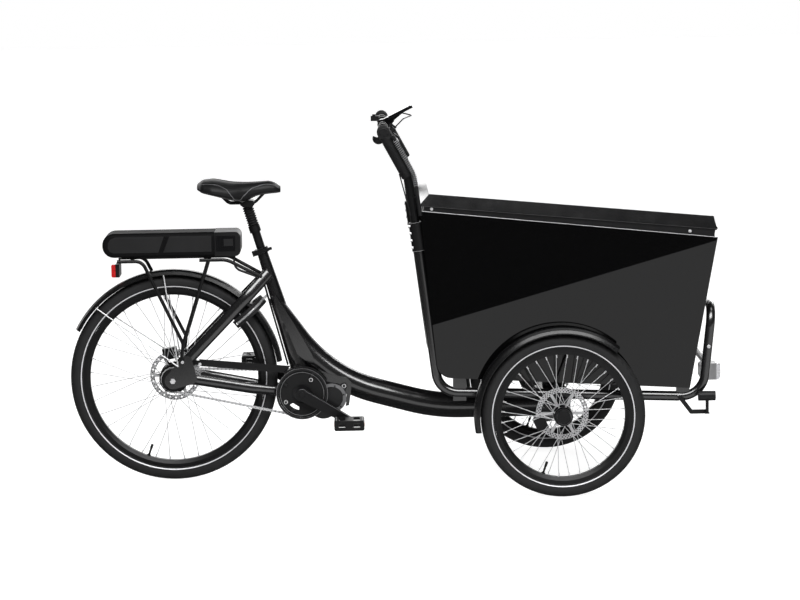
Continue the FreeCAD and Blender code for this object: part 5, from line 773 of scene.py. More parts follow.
        # Painted shade: dark discs where fine holes would show shade.
        shape.make(f"{self.name}_rotor_hole_shade", Look.RUBBER, self.body, "steel")

    def build(self) -> None:
        """Builds and dresses the wheel."""
        self.tyre()
        self.nipples()
        self.rotor_hole_shade()
        zone(f"{self.name}_hub", (Look.ALLOY, Look.ROTOR), self.hub_split)


@dataclass
class Chain:
    """A roller chain round both chain wheels, link by link."""

    pitch: float = 0.0127
    ring_teeth: int = 36
    cog_teeth: int = 18
    plate_height: float = 0.0082
    waist: float = 0.72
    half_width: float = 0.0034
    plate: float = 0.0011
    inset: float = 0.001155
    roller: Pairs = ((0, -0.0034), (0.0018, -0.0034), (0.0018, -0.0012), (0.0036, -0.0011), (0.0036, 0.0011),
                     (0.0018, 0.0012), (0.0018, 0.0034), (0, 0.0034))

    def route(self) -> list[tuple[Vector, Vector]]:
        """Lays evenly spaced pins round both chain wheels, from the cog's top run.

        Returns:
            Each pin with the step to the next one.
        """
        low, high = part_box("chain")
        cog, ring = joint("rear_sprocket_spin"), joint("crank_spin")
        cog.y = ring.y = (low.y + high.y) / 2
        small, large = (self.pitch / (2 * math.sin(math.pi / teeth))
                        for teeth in (self.cog_teeth, self.ring_teeth))
        along = ring - cog
        lean = math.asin((large - small) / along.length)
        straight = along.length * math.cos(lean)
        line = math.degrees(math.atan2(along.z, along.x))
        top, bottom = (line + side * (90 + math.degrees(lean)) for side in (1, -1))
        legs = (0.0, straight, (math.pi + 2 * lean) * large, straight, (math.pi - 2 * lean) * small)
        marks = np.cumsum(legs)
        count = 2 * round(float(marks[-1]) / self.pitch / 2)
        pins = []
        for distance in np.arange(count) * marks[-1] / count:
            share = float(np.interp(distance, marks, (0, 1, 1, 0, 0)))
            turn = np.interp(distance, marks, (top, top, bottom, bottom, top - 360))
            pins.append(cog.lerp(ring, share) + polar(turn, small + (large - small) * share))
        return [(pin, pins[(i + 1) % count] - pin) for i, pin in enumerate(pins)]

    def build(self) -> None:
        """Builds the plates and rollers."""
        plates, rollers = Shape(), Shape()
        half = self.plate_height / 2
        for index, (pin, step) in enumerate(self.route()):
            turn = math.degrees(math.atan2(step.z, step.x))
            middle, up = pin + step / 2, polar(turn + 90, half * self.waist)
            outline = [*arc(pin + step, half, turn - 90, turn + 90, 6), middle + up,
                       *arc(pin, half, turn + 90, turn + 270, 6), middle - up]
            outer = self.half_width - (0.0 if index % 2 else self.inset)
            for side in (-1, 1):
                rows = [[p + Y_AXIS * side * y for p in outline] for y in (outer - self.plate, outer)]
                plates.grid(rows, close_columns=True)
                plates.cap(rows[0])
                plates.cap(rows[1])
            rollers.lathe(self.roller, pin, Y_AXIS, 10)
        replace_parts(plates.make("chain_plates", Look.CHAIN, "rear_frame", "chain_steel"), "chain")
        rollers.make("chain_rollers", Look.SPROCKET, "rear_frame", "chain_steel")


@dataclass
class Seat:
    """The saddle's cover, its seams and the ribbed boot under it."""

    stations: tuple[tuple[float, float, float, float, float], ...] = (
        (0.0, 0.2, 0.72, 0.6, 0.46), (0.05, 0.41, 0.92, 0.52, 0.3), (0.19, 0.5, 0.98, 0.42, 0.16),
        (0.42, 0.43, 0.8, 0.26, -0.13), (0.57, 0.32, 0.78, 0.28, -0.2), (0.72, 0.24, 0.8, 0.38, 0.1),
        (0.87, 0.2, 0.84, 0.44, 0.18), (0.96, 0.165, 0.68, 0.44, 0.2), (1.0, 0.1, 0.5, 0.38, 0.24))
    piping: tuple[Pairs, ...] = (
        ((0.03, 38.0), (0.12, 42.0), (0.26, 40.0), (0.36, 24.0), (0.43, -10.0), (0.47, -55.0)),
        ((0.50, -50.0), (0.56, -12.0), (0.66, 22.0), (0.8, 40.0), (0.93, 38.0), (0.985, 20.0)))
    piping_radius: float = 0.0011
    base: float = 0.893
    height: float = 0.062
    width: float = 0.205
    ease: float = 0.03
    fullness: float = 0.86
    channel: float = 0.0045
    channel_width: float = 0.012
    channel_start: float = 0.12
    channel_span: float = 0.8
    rows: int = 60
    columns: int = 48
    boot_ribs: int = 8
    boot_height: float = 0.062
    boot_radius: float = 0.0142
    boot_swell: float = 0.0037
    boot_bore: float = 0.0118
    rear: float = field(init=False)
    length: float = field(init=False)

    def __post_init__(self) -> None:
        """Reads the saddle's place and length from the frame."""
        low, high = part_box("saddle")
        self.rear, self.length = low.x, high.x - low.x

    def station(self, share: float) -> tuple[float, ...]:
        """Half width, crown, edge and belly at a share of the length."""
        known = np.array(self.stations)
        return tuple(float(np.interp(share, known[:, 0], known[:, column])) for column in range(1, 5))

    def skin(self, share: float, angle: float) -> Vector:
        """Finds a place on the cover.

        Args:
            share: The share of its length from the rear.
            angle: The angle up from its left edge, in radians.

        Returns:
            The place.
        """
        near = np.clip(share + np.linspace(-self.ease, self.ease, 7), 0.0, 1.0)
        half, crown, edge, belly = np.mean([self.station(place) for place in near], axis=0)
        side, lift = (math.copysign(abs(f) ** self.fullness, f) for f in (math.cos(angle), math.sin(angle)))
        y = self.width * half * side
        z = self.height * (edge + (crown - edge if lift > 0 else edge - belly) * lift)
        along = (share - self.channel_start) / self.channel_span
        if lift > 0 and 0 < along < 1:
            z -= self.channel * math.sin(math.pi * along) * math.exp(-(y / self.channel_width) ** 2)
        return Vector((self.rear + self.length * share, y, self.base + z))

    def cover(self) -> None:
        """The padded cover with a shallow middle channel and piping along its panels."""
        shape, cord = Shape(), Shape()
        shares = [0.5 - 0.5 * math.cos(math.pi * row / self.rows) for row in range(self.rows + 1)]
        turns = [math.tau * column / self.columns for column in range(self.columns)]
        shape.loft([[self.skin(share, turn) for turn in turns] for share in shares])
        cover = shape.make("saddle_cover", Look.SADDLE, "saddle", "saddle")
        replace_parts(cover, "saddle")
        for route in self.piping:
            known = np.array(route)
            shares = np.linspace(known[0, 0], known[-1, 0], 40)
            angles = np.radians(np.interp(shares, known[:, 0], known[:, 1]))
            for turns in (angles, math.pi - angles):
                path = [self.skin(float(share), float(turn)) for share, turn in zip(shares, turns)]
                cord.run(path, self.piping_radius, 6)
        cord.make("saddle_piping", Look.PIPING, "saddle", "saddle")

    def boot(self) -> None:
        """A ribbed rubber bellows turned round the suspension's axis, carried by the saddle."""
        low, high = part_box("seat_boot")
        axis = joint("seat_suspension", "axis").normalized()
        foot = (low + high) / 2 - axis * self.boot_height / 2
        profile = []
        for rise in np.linspace(0, 1, self.boot_ribs * 8 + 1):
            swell = 0.5 - 0.5 * math.cos(math.tau * rise * self.boot_ribs)
            radius = self.boot_radius + self.boot_swell * swell ** 0.8
            profile.append((radius, self.boot_height * float(rise)))
        profile += [(self.boot_bore, self.boot_height), (self.boot_bore, 0.0)]
        shape = Shape()
        shape.lathe(profile, foot, axis, 40, closed=True)
        boot = shape.make("boot_bellows", Look.RUBBER, "saddle", "rubber")
        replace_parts(boot, "seat_boot")
        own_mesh(boot)

    def build(self) -> None:
        """Builds the seat."""
        self.cover()
        self.boot()


@dataclass
class Drive:
    """Bolts and lugs of the motor, pale lines painted as highlights along the cranks' upper edges, and what
    is fixed to the pedals.
    """

    motor: Vector = fixed(-0.20275, -0.037, 0.257)
    motor_bolt: Vector = fixed(-0.1636, -0.037, 0.2945)
    lug: float = 0.0105
    lug_foot: float = 0.022
    lug_reach: float = 0.55
    lug_depth: float = 0.006
    ring_bolts: Pairs = ((-0.2671, 0.3192), (-0.3472, 0.2496))
    ring_face: float = 0.062
    washer: float = 0.0014
    washer_bore: Pair = (0.0036, 0.0016)
    plate_face: float = 0.0575
    plate_depth: float = 0.0015
    plate_radii: Triple = (0.030, 0.0506, 0.0745)
    window_size: Pair = (0.016, 0.0145)
    window_turn: float = 240.0
    # Radii and section of the pale rings painted as highlights on the chain guard's edges.
    guard_highlights: Pair = (0.0686, 0.0807)
    guard_highlight_section: Pairs = ((-0.0005, -0.0004), (-0.0005, 0.0003), (0.0005, 0.0003), (0.0005, -0.0004))
    cover_ring: Pair = (0.033, 0.0455)
    cover_back: float = 0.0372
    screw_circle: float = 0.0392
    screw_face: float = 0.044
    screw_head: Pair = (0.0028, 0.0018)
    boss: float = 0.0178
    tip: float = 0.0118
    crank_length: float = 0.170
    crank_face: float = 0.0842
    crank_angle: float = 30.0
    # Radius of the pale line painted as a highlight along each crank's upper edge.
    crank_highlight: float = 0.0006
    crank_cap: Pairs = ((0.0, 0.0012), (0.0085, 0.0012), (0.0098, 0.0), (0.0098, -0.0004))
    reflector: Triple = (0.0008, 0.021, 0.0055)
    reflector_chamfer: float = 0.0015
    pin_inset: float = 0.006
    pin_spread: float = 0.026
    pin: Pairs = ((0.0, 0.002), (0.0014, 0.002), (0.0019, 0.0), (0.0019, -0.002))
    guard_bolt: Pair = (-0.6138, 0.3766)
    foot_bolt: Triple = (-0.6668, 0.0872, 0.3872)
    foot_head: Pair = (0.005, 0.0035)
    caliper_lifts: Pair = (0.28, 0.72)
    caliper_head: Pair = (0.0042, 0.003)

    def fasten(self, name: str, faces: Sequence[Vector], ring: Pair,
               head: Pair, body: str) -> None:
        """Sets a washer and a bolt on each face.

        Args:
            name: What the pieces' names begin with.
            faces: The middles of the faces, which look to the right.
            ring: The washer's radius and where its edge begins.
            head: The bolt's radius and height.
            body: The body that carries them.
        """
        washers, bolts = Shape(), Shape()
        profile = [ring, (ring[0], self.washer), self.washer_bore]
        for face in faces:
            washers.lathe(profile, face, -Y_AXIS, 20)
            bolts.bolt(face - Y_AXIS * self.washer, -Y_AXIS, *head)
        washers.make(f"{name}_washers", Look.STEEL, body, "steel")
        bolts.make(f"{name}_bolts", Look.SPROCKET, body, "steel")

    def lugs(self) -> None:
        """The lug where the motor hangs in the frame, and the bolts of motor and chainring."""
        inward = self.motor - self.motor_bolt
        foot = self.motor_bolt + inward * self.lug_reach
        turn = math.degrees(math.atan2(inward.z, inward.x))
        ring = arc(foot, self.lug_foot, turn - 90, turn + 90, 12)
        ring += arc(self.motor_bolt, self.lug, turn + 90, turn + 270, 12)
        plates = Shape()
        plates.loft([ring, [p - Y_AXIS * self.lug_depth for p in ring]], start=False)
        plates.make("motor_lugs", Look.CAST, "rear_frame", "motor_alloy")
        face = self.motor_bolt - Y_AXIS * self.lug_depth
        self.fasten("motor", [face], (0.0066, 0.0), (0.0044, 0.0034), "rear_frame")
        faces = [Vector((x, -self.ring_face, z)) for x, z in self.ring_bolts]
        self.fasten("ring", faces, (0.0062, -0.0045), (0.0042, 0.0026), "crank")

    def ring_plate(self) -> None:
        """The thin plate inside the chainring, with its one oval opening, and pale rings painted as
        highlights on the guard's edges.
        """
        centre = joint("crank_spin")
        centre.y = 0.0
        inner, middle, outer = self.plate_radii
        half = math.degrees(self.window_size[0] / middle)
        turns = [half * math.sin(math.radians(10 * k)) for k in range(-9, 10)]
        turns += [half + (360 - 2 * half) * k / 90 for k in range(1, 90)]
        back, front = self.plate_depth - self.plate_face, -self.plate_face
        shape, edges = Shape(), Shape()
        for edge, side in ((inner, -1), (outer, 1)):
            rows: list[list[Vector]] = [[], [], [], []]
            for turn in turns:
                share = min(1.0, abs(turn) / half)
                rim = middle + side * self.window_size[1] * math.sqrt(1 - share * share)
                for row, spot in zip(rows, ((edge, back), (edge, front), (rim, front), (rim, back))):
                    row.append(centre + polar(self.window_turn + turn, *spot))
            shape.grid(rows, close_columns=True)
        shape.make("ring_plate", Look.RUBBER, "crank", "black_alloy")
        # Pale rings painted as highlights on the guard's edges.
        for radius in self.guard_highlights:
            profile = [(radius + out, height) for out, height in self.guard_highlight_section]
            edges.lathe(profile, centre - Y_AXIS * self.ring_face, -Y_AXIS, 96)
        edges.make("guard_highlights", Look.PALE_METAL_AND_HIGHLIGHT, "crank", "black_alloy")

    def cover(self) -> None:
        """The pale ring of the motor's cover and the small screws round it."""
        motor, (inner, outer) = self.motor, self.cover_ring
        zone("motor_casing", (Look.CAST, Look.COVER_RING), lambda c: int(
            c.y < -self.cover_back and inner < math.hypot(c.x - motor.x, c.z - motor.z) < outer))
        screws = Shape()
        for turn in range(15, 360, 60):
            spot = Vector((motor.x, 0, motor.z)) + polar(turn, self.screw_circle, -self.screw_face)
            screws.bolt(spot, -Y_AXIS, *self.screw_head)
        screws.make("motor_cover_screws", Look.SPROCKET, "rear_frame", "steel")

    def crank_highlights(self) -> None:
        """A pale line painted as a highlight along each crank's upper side, and the cap in its boss."""
        lines, caps = Shape(), Shape()
        for side in (-1, 1):
            start = joint("crank_spin")
            start.y = side * self.crank_face
            turn = 90 + side * 90 - self.crank_angle
            path = arc(start, self.boss, turn - side * 150, turn - side * 70, 8)
            path.append(start + polar(turn, self.crank_length) + polar(turn - side * 90, self.tip))
            lines.run(path, self.crank_highlight, 6)
            caps.lathe(self.crank_cap, start, Vector((0, side, 0)), 28)
        # Painted highlight: a pale line along each crank's upper edge.
        lines.make("crank_painted_highlights", Look.PALE_METAL_AND_HIGHLIGHT, "crank", "black_alloy")
        caps.make("crank_caps", Look.PLASTIC, "crank", "plastic")

    def pedal_parts(self) -> None:
        """Reflectors at both ends of each pedal and grip pins on its cage."""
        for side, _ in SIDES:
            low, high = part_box(f"pedal_{side}")
            middle = (low + high) / 2
            reflectors, pins = Shape(), Shape()
            for end in (low.x, high.x):
                spot = Vector((end, middle.y, middle.z))
                reflectors.block(spot, self.reflector, self.reflector_chamfer)
            for x in (low.x + self.pin_inset, high.x - self.pin_inset):
                for across in np.linspace(-self.pin_spread, self.pin_spread, 4):
                    for face, way in ((high.z, 1), (low.z, -1)):
                        spot = Vector((x, middle.y + float(across), face))
                        pins.lathe(self.pin, spot, Vector((0, 0, way)), 8)
            reflectors.make(f"pedal_{side}_reflectors", Look.AMBER, f"pedal_{side}", "lens")
            pins.make(f"pedal_{side}_pins", Look.STEEL, f"pedal_{side}", "steel")

    def guard_bolts(self) -> None:
        """Bright bolts on the chain guard, the carrier's feet and the brake."""
        shape = Shape()
        guard_x, guard_z = self.guard_bolt
        x, y, z = self.foot_bolt
        for spot in ((guard_x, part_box("chain_guard")[0].y, guard_z), (x, -y, z), (x, y, z)):
            shape.bolt(Vector(spot), Vector((0, math.copysign(1, spot[1]), 0)), *self.foot_head)
        low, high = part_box("rear_caliper")
        for lift in self.caliper_lifts:
            spot = Vector(((low.x + high.x) / 2, low.y, low.z + (high.z - low.z) * lift))
            shape.bolt(spot, -Y_AXIS, *self.caliper_head)
        shape.make("rear_bolts", Look.STEEL, "rear_frame", "steel")

    def build(self) -> None:
        """Builds the drive's small parts."""
        self.lugs()
        self.ring_plate()
        self.cover()
        self.crank_highlights()
        self.pedal_parts()
        self.guard_bolts()


@dataclass
class Cockpit:
    """Grips, cable wrap, display glass and the clamps on the legs."""

    bar: Vector = fixed(-0.02655, 0.0, 1.1147)
    knee: Vector = fixed(0.0467, 0.0, 0.9776)
    leg_foot: Vector = fixed(0.12775, 0.0, 0.3174)
    leg_lean: float = 7.0
    spread: float = 0.325
    grip_radius: float = 0.0205
    grip_length: float = 0.155
    grip_bore: float = 0.0137
    grip_flat: float = 0.005
    grip_bevel: float = 0.0015
    grip_cap: Pairs = ((0.0, 0.0022), (0.0115, 0.0022), (0.0132, 0.0008), (0.0132, -0.0004))
    rings: int = 26
    ring_depth: float = 0.0006
    ring_margin: float = 0.004
    bundle_start: float = 0.03
    bundle_y: float = -0.352
    bundle_ahead: float = 0.019
    bundle_low: float = 0.864
    bundle_ease: float = 0.014
    wrap_start: float = 0.004
    wrap_radius: float = 0.0066
    wrap_pitch: float = 0.0062
    wrap_short: float = 0.09
    wrap_cord: float = 0.0011
    clamp_low: float = 0.757
    clamp_edges: Pair = (0.7535, 0.8395)
    clamp_radius: float = 0.0207
    clamp_ring: Pairs = ((0.0200, -0.0006), (0.0207, -0.0006), (0.0207, 0.0006), (0.0200, 0.0006))
    display_corner: Vector = fixed(-0.00855, -0.03, 1.1287)
    display_size: Triple = (0.086, 0.060, 0.009)
    display_tilt: float = 26.0
    glass_steps: Pairs = ((0.0, 0.006), (0.0008, 0.0066))
    glass_round: float = 0.004
    glass_bead: float = 0.0009

    def leg_x(self, z: float) -> float:
        """Where a leg's middle line is at a height."""
        return self.leg_foot.x - (z - self.leg_foot.z) * math.tan(math.radians(self.leg_lean))

    def grips(self) -> None:
        """A ribbed sleeve a side with a round head over the cross bar."""
        down = (self.knee - self.bar).normalized()
        radius, end = self.grip_radius, self.grip_length
        valley, flat, bevel = (radius - cut for cut in (self.ring_depth, self.grip_flat, self.grip_bevel))
        first = radius + self.ring_margin
        step = (end - self.ring_margin - first) / self.rings
        profile = [(self.grip_bore, end), (radius - 0.003, end), (valley, end - 0.0025)]
        for ring in reversed(range(self.rings)):
            profile += [(reach, first + step * (ring + share)) for reach, share in (
                (valley, 1), (valley, 0.86), (radius, 0.74), (radius, 0.12))]
        profile += [(radius, first - 0.001), (radius, 0.0)]
        head = [(0.0, -radius), (flat, -radius), (bevel, -bevel), (radius, -flat),
                (radius, flat), (bevel, bevel), (flat, radius), (0.0, radius)]
        sleeves, caps = Shape(), Shape()
        for side in (-1, 1):
            top = self.bar + Y_AXIS * side * self.spread
            sleeves.lathe(profile, top, down, 40)
            sleeves.lathe(head, top, Y_AXIS, 40)
            caps.lathe(self.grip_cap, top + Y_AXIS * side * radius, Y_AXIS * side, 28)
        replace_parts(sleeves.make("grip_sleeves", Look.RUBBER, "handlebar", "rubber"), "grips")
        caps.make("grip_caps", Look.PLASTIC, "handlebar", "plastic")

    def wrap(self) -> None:
        """A spiral wrap along the cable bundle."""
        down = (self.knee - self.bar).normalized()
        ahead = Vector((-down.z, 0, down.x)) * self.bundle_ahead
        stops = [self.bar + down * self.bundle_start + ahead, self.knee + ahead,
                 Vector((self.leg_x(self.bundle_low) + self.bundle_ahead, 0, self.bundle_low))]
        lengths = np.cumsum([0.0, (stops[1] - stops[0]).length, (stops[2] - stops[1]).length])

        def middle(distance: float) -> Vector:
            """Finds a place on the bundle's middle line, with its corner eased.

            Args:
                distance: How far along the bundle it lies.

            Returns:
                The place.
            """
            reach = np.clip(distance + np.linspace(-self.bundle_ease, self.bundle_ease, 9), 0.0, lengths[2])
            x, z = (np.mean(np.interp(reach, lengths, [stop[axis] for stop in stops])) for axis in (0, 2))
            return Vector((float(x), self.bundle_y, float(z)))

        path = []
        for distance in np.arange(self.wrap_start, lengths[2] - self.wrap_short, self.wrap_pitch / 12):
            spot = middle(distance)
            across = (middle(distance + 0.002) - spot).normalized().cross(Y_AXIS)
            turn = math.tau * distance / self.wrap_pitch
            path.append(spot + (Y_AXIS * math.cos(turn) + across * math.sin(turn)) * self.wrap_radius)
        shape = Shape()
        shape.run(path, self.wrap_cord, 6)
        shape.make("cable_wrap", Look.WRAP, "handlebar", "cable")

    def display(self) -> None:
        """A glass over the display and a bead round it."""
        along, out = polar(self.display_tilt), polar(self.display_tilt + 90)
        length, width, depth = self.display_size
        centre = self.display_corner + out * depth + along * length / 2 + Y_AXIS * width / 2
        rows = []
        for lift, inset in self.glass_steps:
            ring = []
            inset += self.glass_round
            for u, v, first in ((1, 1, 0), (-1, 1, 90), (-1, -1, 180), (1, -1, 270)):
                spot = centre + along * u * (length / 2 - inset) + out * lift
                spot += Y_AXIS * v * (width / 2 - inset)
                for turn in np.radians(np.linspace(first, first + 90, 5)):
                    ring.append(spot + (along * math.cos(turn) + Y_AXIS * math.sin(turn)) * self.glass_round)
            rows.append(ring)
        glass, bead = Shape(), Shape()
        glass.loft(rows, start=False)
        glass.make("display_glass", Look.SCREEN, "handlebar", "gloss")
        bead.run(rows[0], self.glass_bead, 6, closed=True)
        bead.make("display_bead", Look.PLASTIC, "handlebar", "plastic")

    def clamps(self) -> None:
        """Paints the clamps at the legs' tops and their bolts, and edges the clamps with rings."""
        along = polar(90 + self.leg_lean)

        def part(spot: Vector) -> int:
            """Tube, clamp or bolt."""
            reach = math.hypot((spot.x - self.leg_x(spot.z)) * along.z, abs(spot.y) - self.spread)
            return 0 if spot.z < self.clamp_low else 2 if reach > self.clamp_radius else 1

        zone("side_tubes", (Look.FRAME, Look.COAT, Look.STEEL), part)
        rings = Shape()
        for side in (-1, 1):
            for z in self.clamp_edges:
                spot = Vector((self.leg_x(z), side * self.spread, z))
                rings.lathe(self.clamp_ring, spot, along, 32, closed=True)
        rings.make("clamp_rings", Look.PALE_METAL_AND_HIGHLIGHT, "front_frame", "black_alloy")

    def build(self) -> None:
        """Builds the cockpit's soft and small parts."""
        self.grips()
        self.wrap()
        self.display()
        self.clamps()


@dataclass
class CargoBox:
    """Pale lines painted as highlights along the box's panels, a dark line on its lid, and the bolts of rim
    and bumper.
    """

    # Radius of the pale line painted as a highlight along each side panel's top.
    panel_highlight_radius: float = 0.0011
    lid_trim: float = 0.00088
    rim_half: float = 0.340
    rim_bolts: Pairs = ((0.1141, 0.8803), (0.8956, 0.7978))
    rim_head: Pair = (0.0048, 0.0032)
    frame_bolts: Pairs = ((0.9512, 0.4431), (0.8608, 0.2934))
    frame_head: Pair = (0.0055, 0.004)

    def panel_highlights_and_lid_line(self) -> None:
        """A thin pale line painted as a highlight along the top of each side panel, and a thin dark metal
        line along the lid's lower edge.
        """
        lines, lid_lines = Shape(), Shape()
        for side, sign in SIDES:
            for shape, node, ways, radius in (
                    (lines, f"box_side_{side}", ((-1, 0, 2), (2, 0, 1)), self.panel_highlight_radius),
                    (lid_lines, "lid", ((-1, sign, -2), (1, sign, -1)), self.lid_trim)):
                path = [corner(node, way) for way in ways]
                for spot in path:
                    spot.y = corner(node, (0, sign, 0)).y
                shape.run(path, radius, 8)
        # Painted highlight: the pale line along each side panel's top.
        lines.make("panel_painted_highlights", Look.PALE_METAL_AND_HIGHLIGHT, "front_frame", "panel")
        lid_lines.make("lid_edge_lines", Look.ALLOY, "lid", "lid")

    def bolts(self) -> None:
        """Bolts through the rim and at the bumper's joints."""
        shape = Shape()
        for sign in (-1, 1):
            for spots, head in ((self.rim_bolts, self.rim_head), (self.frame_bolts, self.frame_head)):
                for x, z in spots:
                    shape.bolt(Vector((x, sign * self.rim_half, z)), Vector((0, sign, 0)), *head)
        shape.make("box_bolts", Look.STEEL, "front_frame", "steel")

    def build(self) -> None:
        """Builds the box's painted edge highlights, its lid line and its bolts."""
        self.panel_highlights_and_lid_line()
        self.bolts()


@dataclass
class Mudguards:
    """Rolled edges of the front mudguards."""

    radius: float = 0.2545
    half_width: float = 0.0335
    start: float = 50.0
    end: float = 190.0
    bead: float = 0.0016

    def build(self) -> None:
        """Lays a bead along both edges of each front mudguard."""
        shape = Shape()
        for side, _ in SIDES:
            axle = joint(f"front_{side}_wheel_spin")
            low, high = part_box(f"front_{side}_tyre")
            for edge in (-1, 1):
                axle.y = (low.y + high.y) / 2 + edge * self.half_width
                shape.run(arc(axle, self.radius, self.start, self.end, 70), self.bead, 8)
        shape.make("mudguard_beads", Look.FENDER, "front_frame", "plastic")


@dataclass
class Power:
    """Side plates of the battery and the window on its dock."""

    rear_shares: Pairs = ((0.1, 0.2), (0.5, 0.2), (0.553, 0.86), (0.12, 0.86), (0.075, 0.78), (0.053, 0.62),
                          (0.05, 0.42), (0.065, 0.28))
    middle_shares: Pairs = ((0.542, 0.2), (0.975, 0.2), (0.975, 0.86), (0.602, 0.86))
    dock_shares: Pairs = ((0.06, 0.2), (0.8, 0.2), (0.8, 0.84), (0.06, 0.84))
    window_shares: Pairs = ((0.36, 0.42), (0.72, 0.42), (0.72, 0.72), (0.36, 0.72))
    bevel: float = 0.03
    plate: float = 0.0007
    window: float = 0.00168
    dock_rear: float = -0.559
    dock_low: float = 0.7158

    def plates(self, name: str, box: tuple[Vector, Vector], shares: Pairs, look: Look, body: str,
               lift: float) -> None:
        """Lays a thin plate with bevelled edges on each side of a block.

        Args:
            name: The plates' name.
            box: The block's low and high corners.
            shares: The outline in shares of the block's side.
            look: The plates' finish.
            body: The body that carries them.
            lift: How far they stand out.
        """
        low, high = box
        shape = Shape()
        for sign, face in ((-1, low.y), (1, high.y)):
            ring = [Vector((low.x + (high.x - low.x) * u, face, low.z + (high.z - low.z) * v))
                    for u, v in shares]
            middle = sum(ring, Vector()) / len(ring)
            inner = [p.lerp(middle, self.bevel) + Y_AXIS * sign * lift for p in ring]
            shape.loft([ring, inner], start=False)
        shape.make(name, look, body, "plastic", smooth=False)

    def build(self) -> None:
        """Builds the plates of the battery and its dock."""
        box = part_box("battery")
        self.plates("battery_rear_plates", box, self.rear_shares, Look.SATIN, "battery", self.plate)
        self.plates("battery_front_plates", box, self.middle_shares, Look.SATIN, "battery", self.plate)
        low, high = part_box("battery_tray")
        low.x, low.z = self.dock_rear, self.dock_low
        self.plates("dock_plates", (low, high), self.dock_shares, Look.GLOSS, "rear_frame", self.plate)
        self.plates("dock_windows", (low, high), self.window_shares, Look.SATIN, "rear_frame", self.window)


@dataclass
class Lamps:
    """The lens over the head lamp and its ring."""

    middle: float = 0.314
    lens: float = 0.0205
    dome: float = 0.0035
    ring_depth: float = 0.002
    ring_width: float = 0.0018

    def build(self) -> None:
        """A domed lens in a ring."""
        spot = Vector((corner("front_lamps", (1, 0, 0)).x, 0.0, self.middle))
        forward = Vector((1, 0, 0))
        glass, ring = Shape(), Shape()
        glass.lathe([(self.lens * math.sin(a), self.dome * math.cos(a))
                     for a in np.radians(np.linspace(0, 90, 9))], spot, forward, 32)
        outer = self.lens + self.ring_width
        ring.lathe([(self.lens, 0.0), (self.lens, self.ring_depth), (outer, self.ring_depth), (outer, 0.0)],
                   spot, forward, 32)
        glass.make("head_lamp_glass", Look.CLEAR, "front_frame", "lens")
        ring.make("head_lamp_ring", Look.STEEL, "front_frame", "steel")


@dataclass(frozen=True)
class SoftBox:
    """One soft light that points at a target."""

    name: str
    spot: Triple
    target: Triple
    size: Pair
    watts: float

    def hang(self) -> None:
        """Adds the light to the scene."""
        data = bpy.data.lights.new(self.name, "AREA")
        data.shape = "RECTANGLE"
        data.size, data.size_y = self.size
        data.energy = self.watts
        lamp = bpy.data.objects.new(self.name, data)
        lamp.location = self.spot
        lamp.rotation_euler = (Vector(self.target) - Vector(self.spot)).to_track_quat("-Z", "Y").to_euler()
        bpy.context.scene.collection.objects.link(lamp)


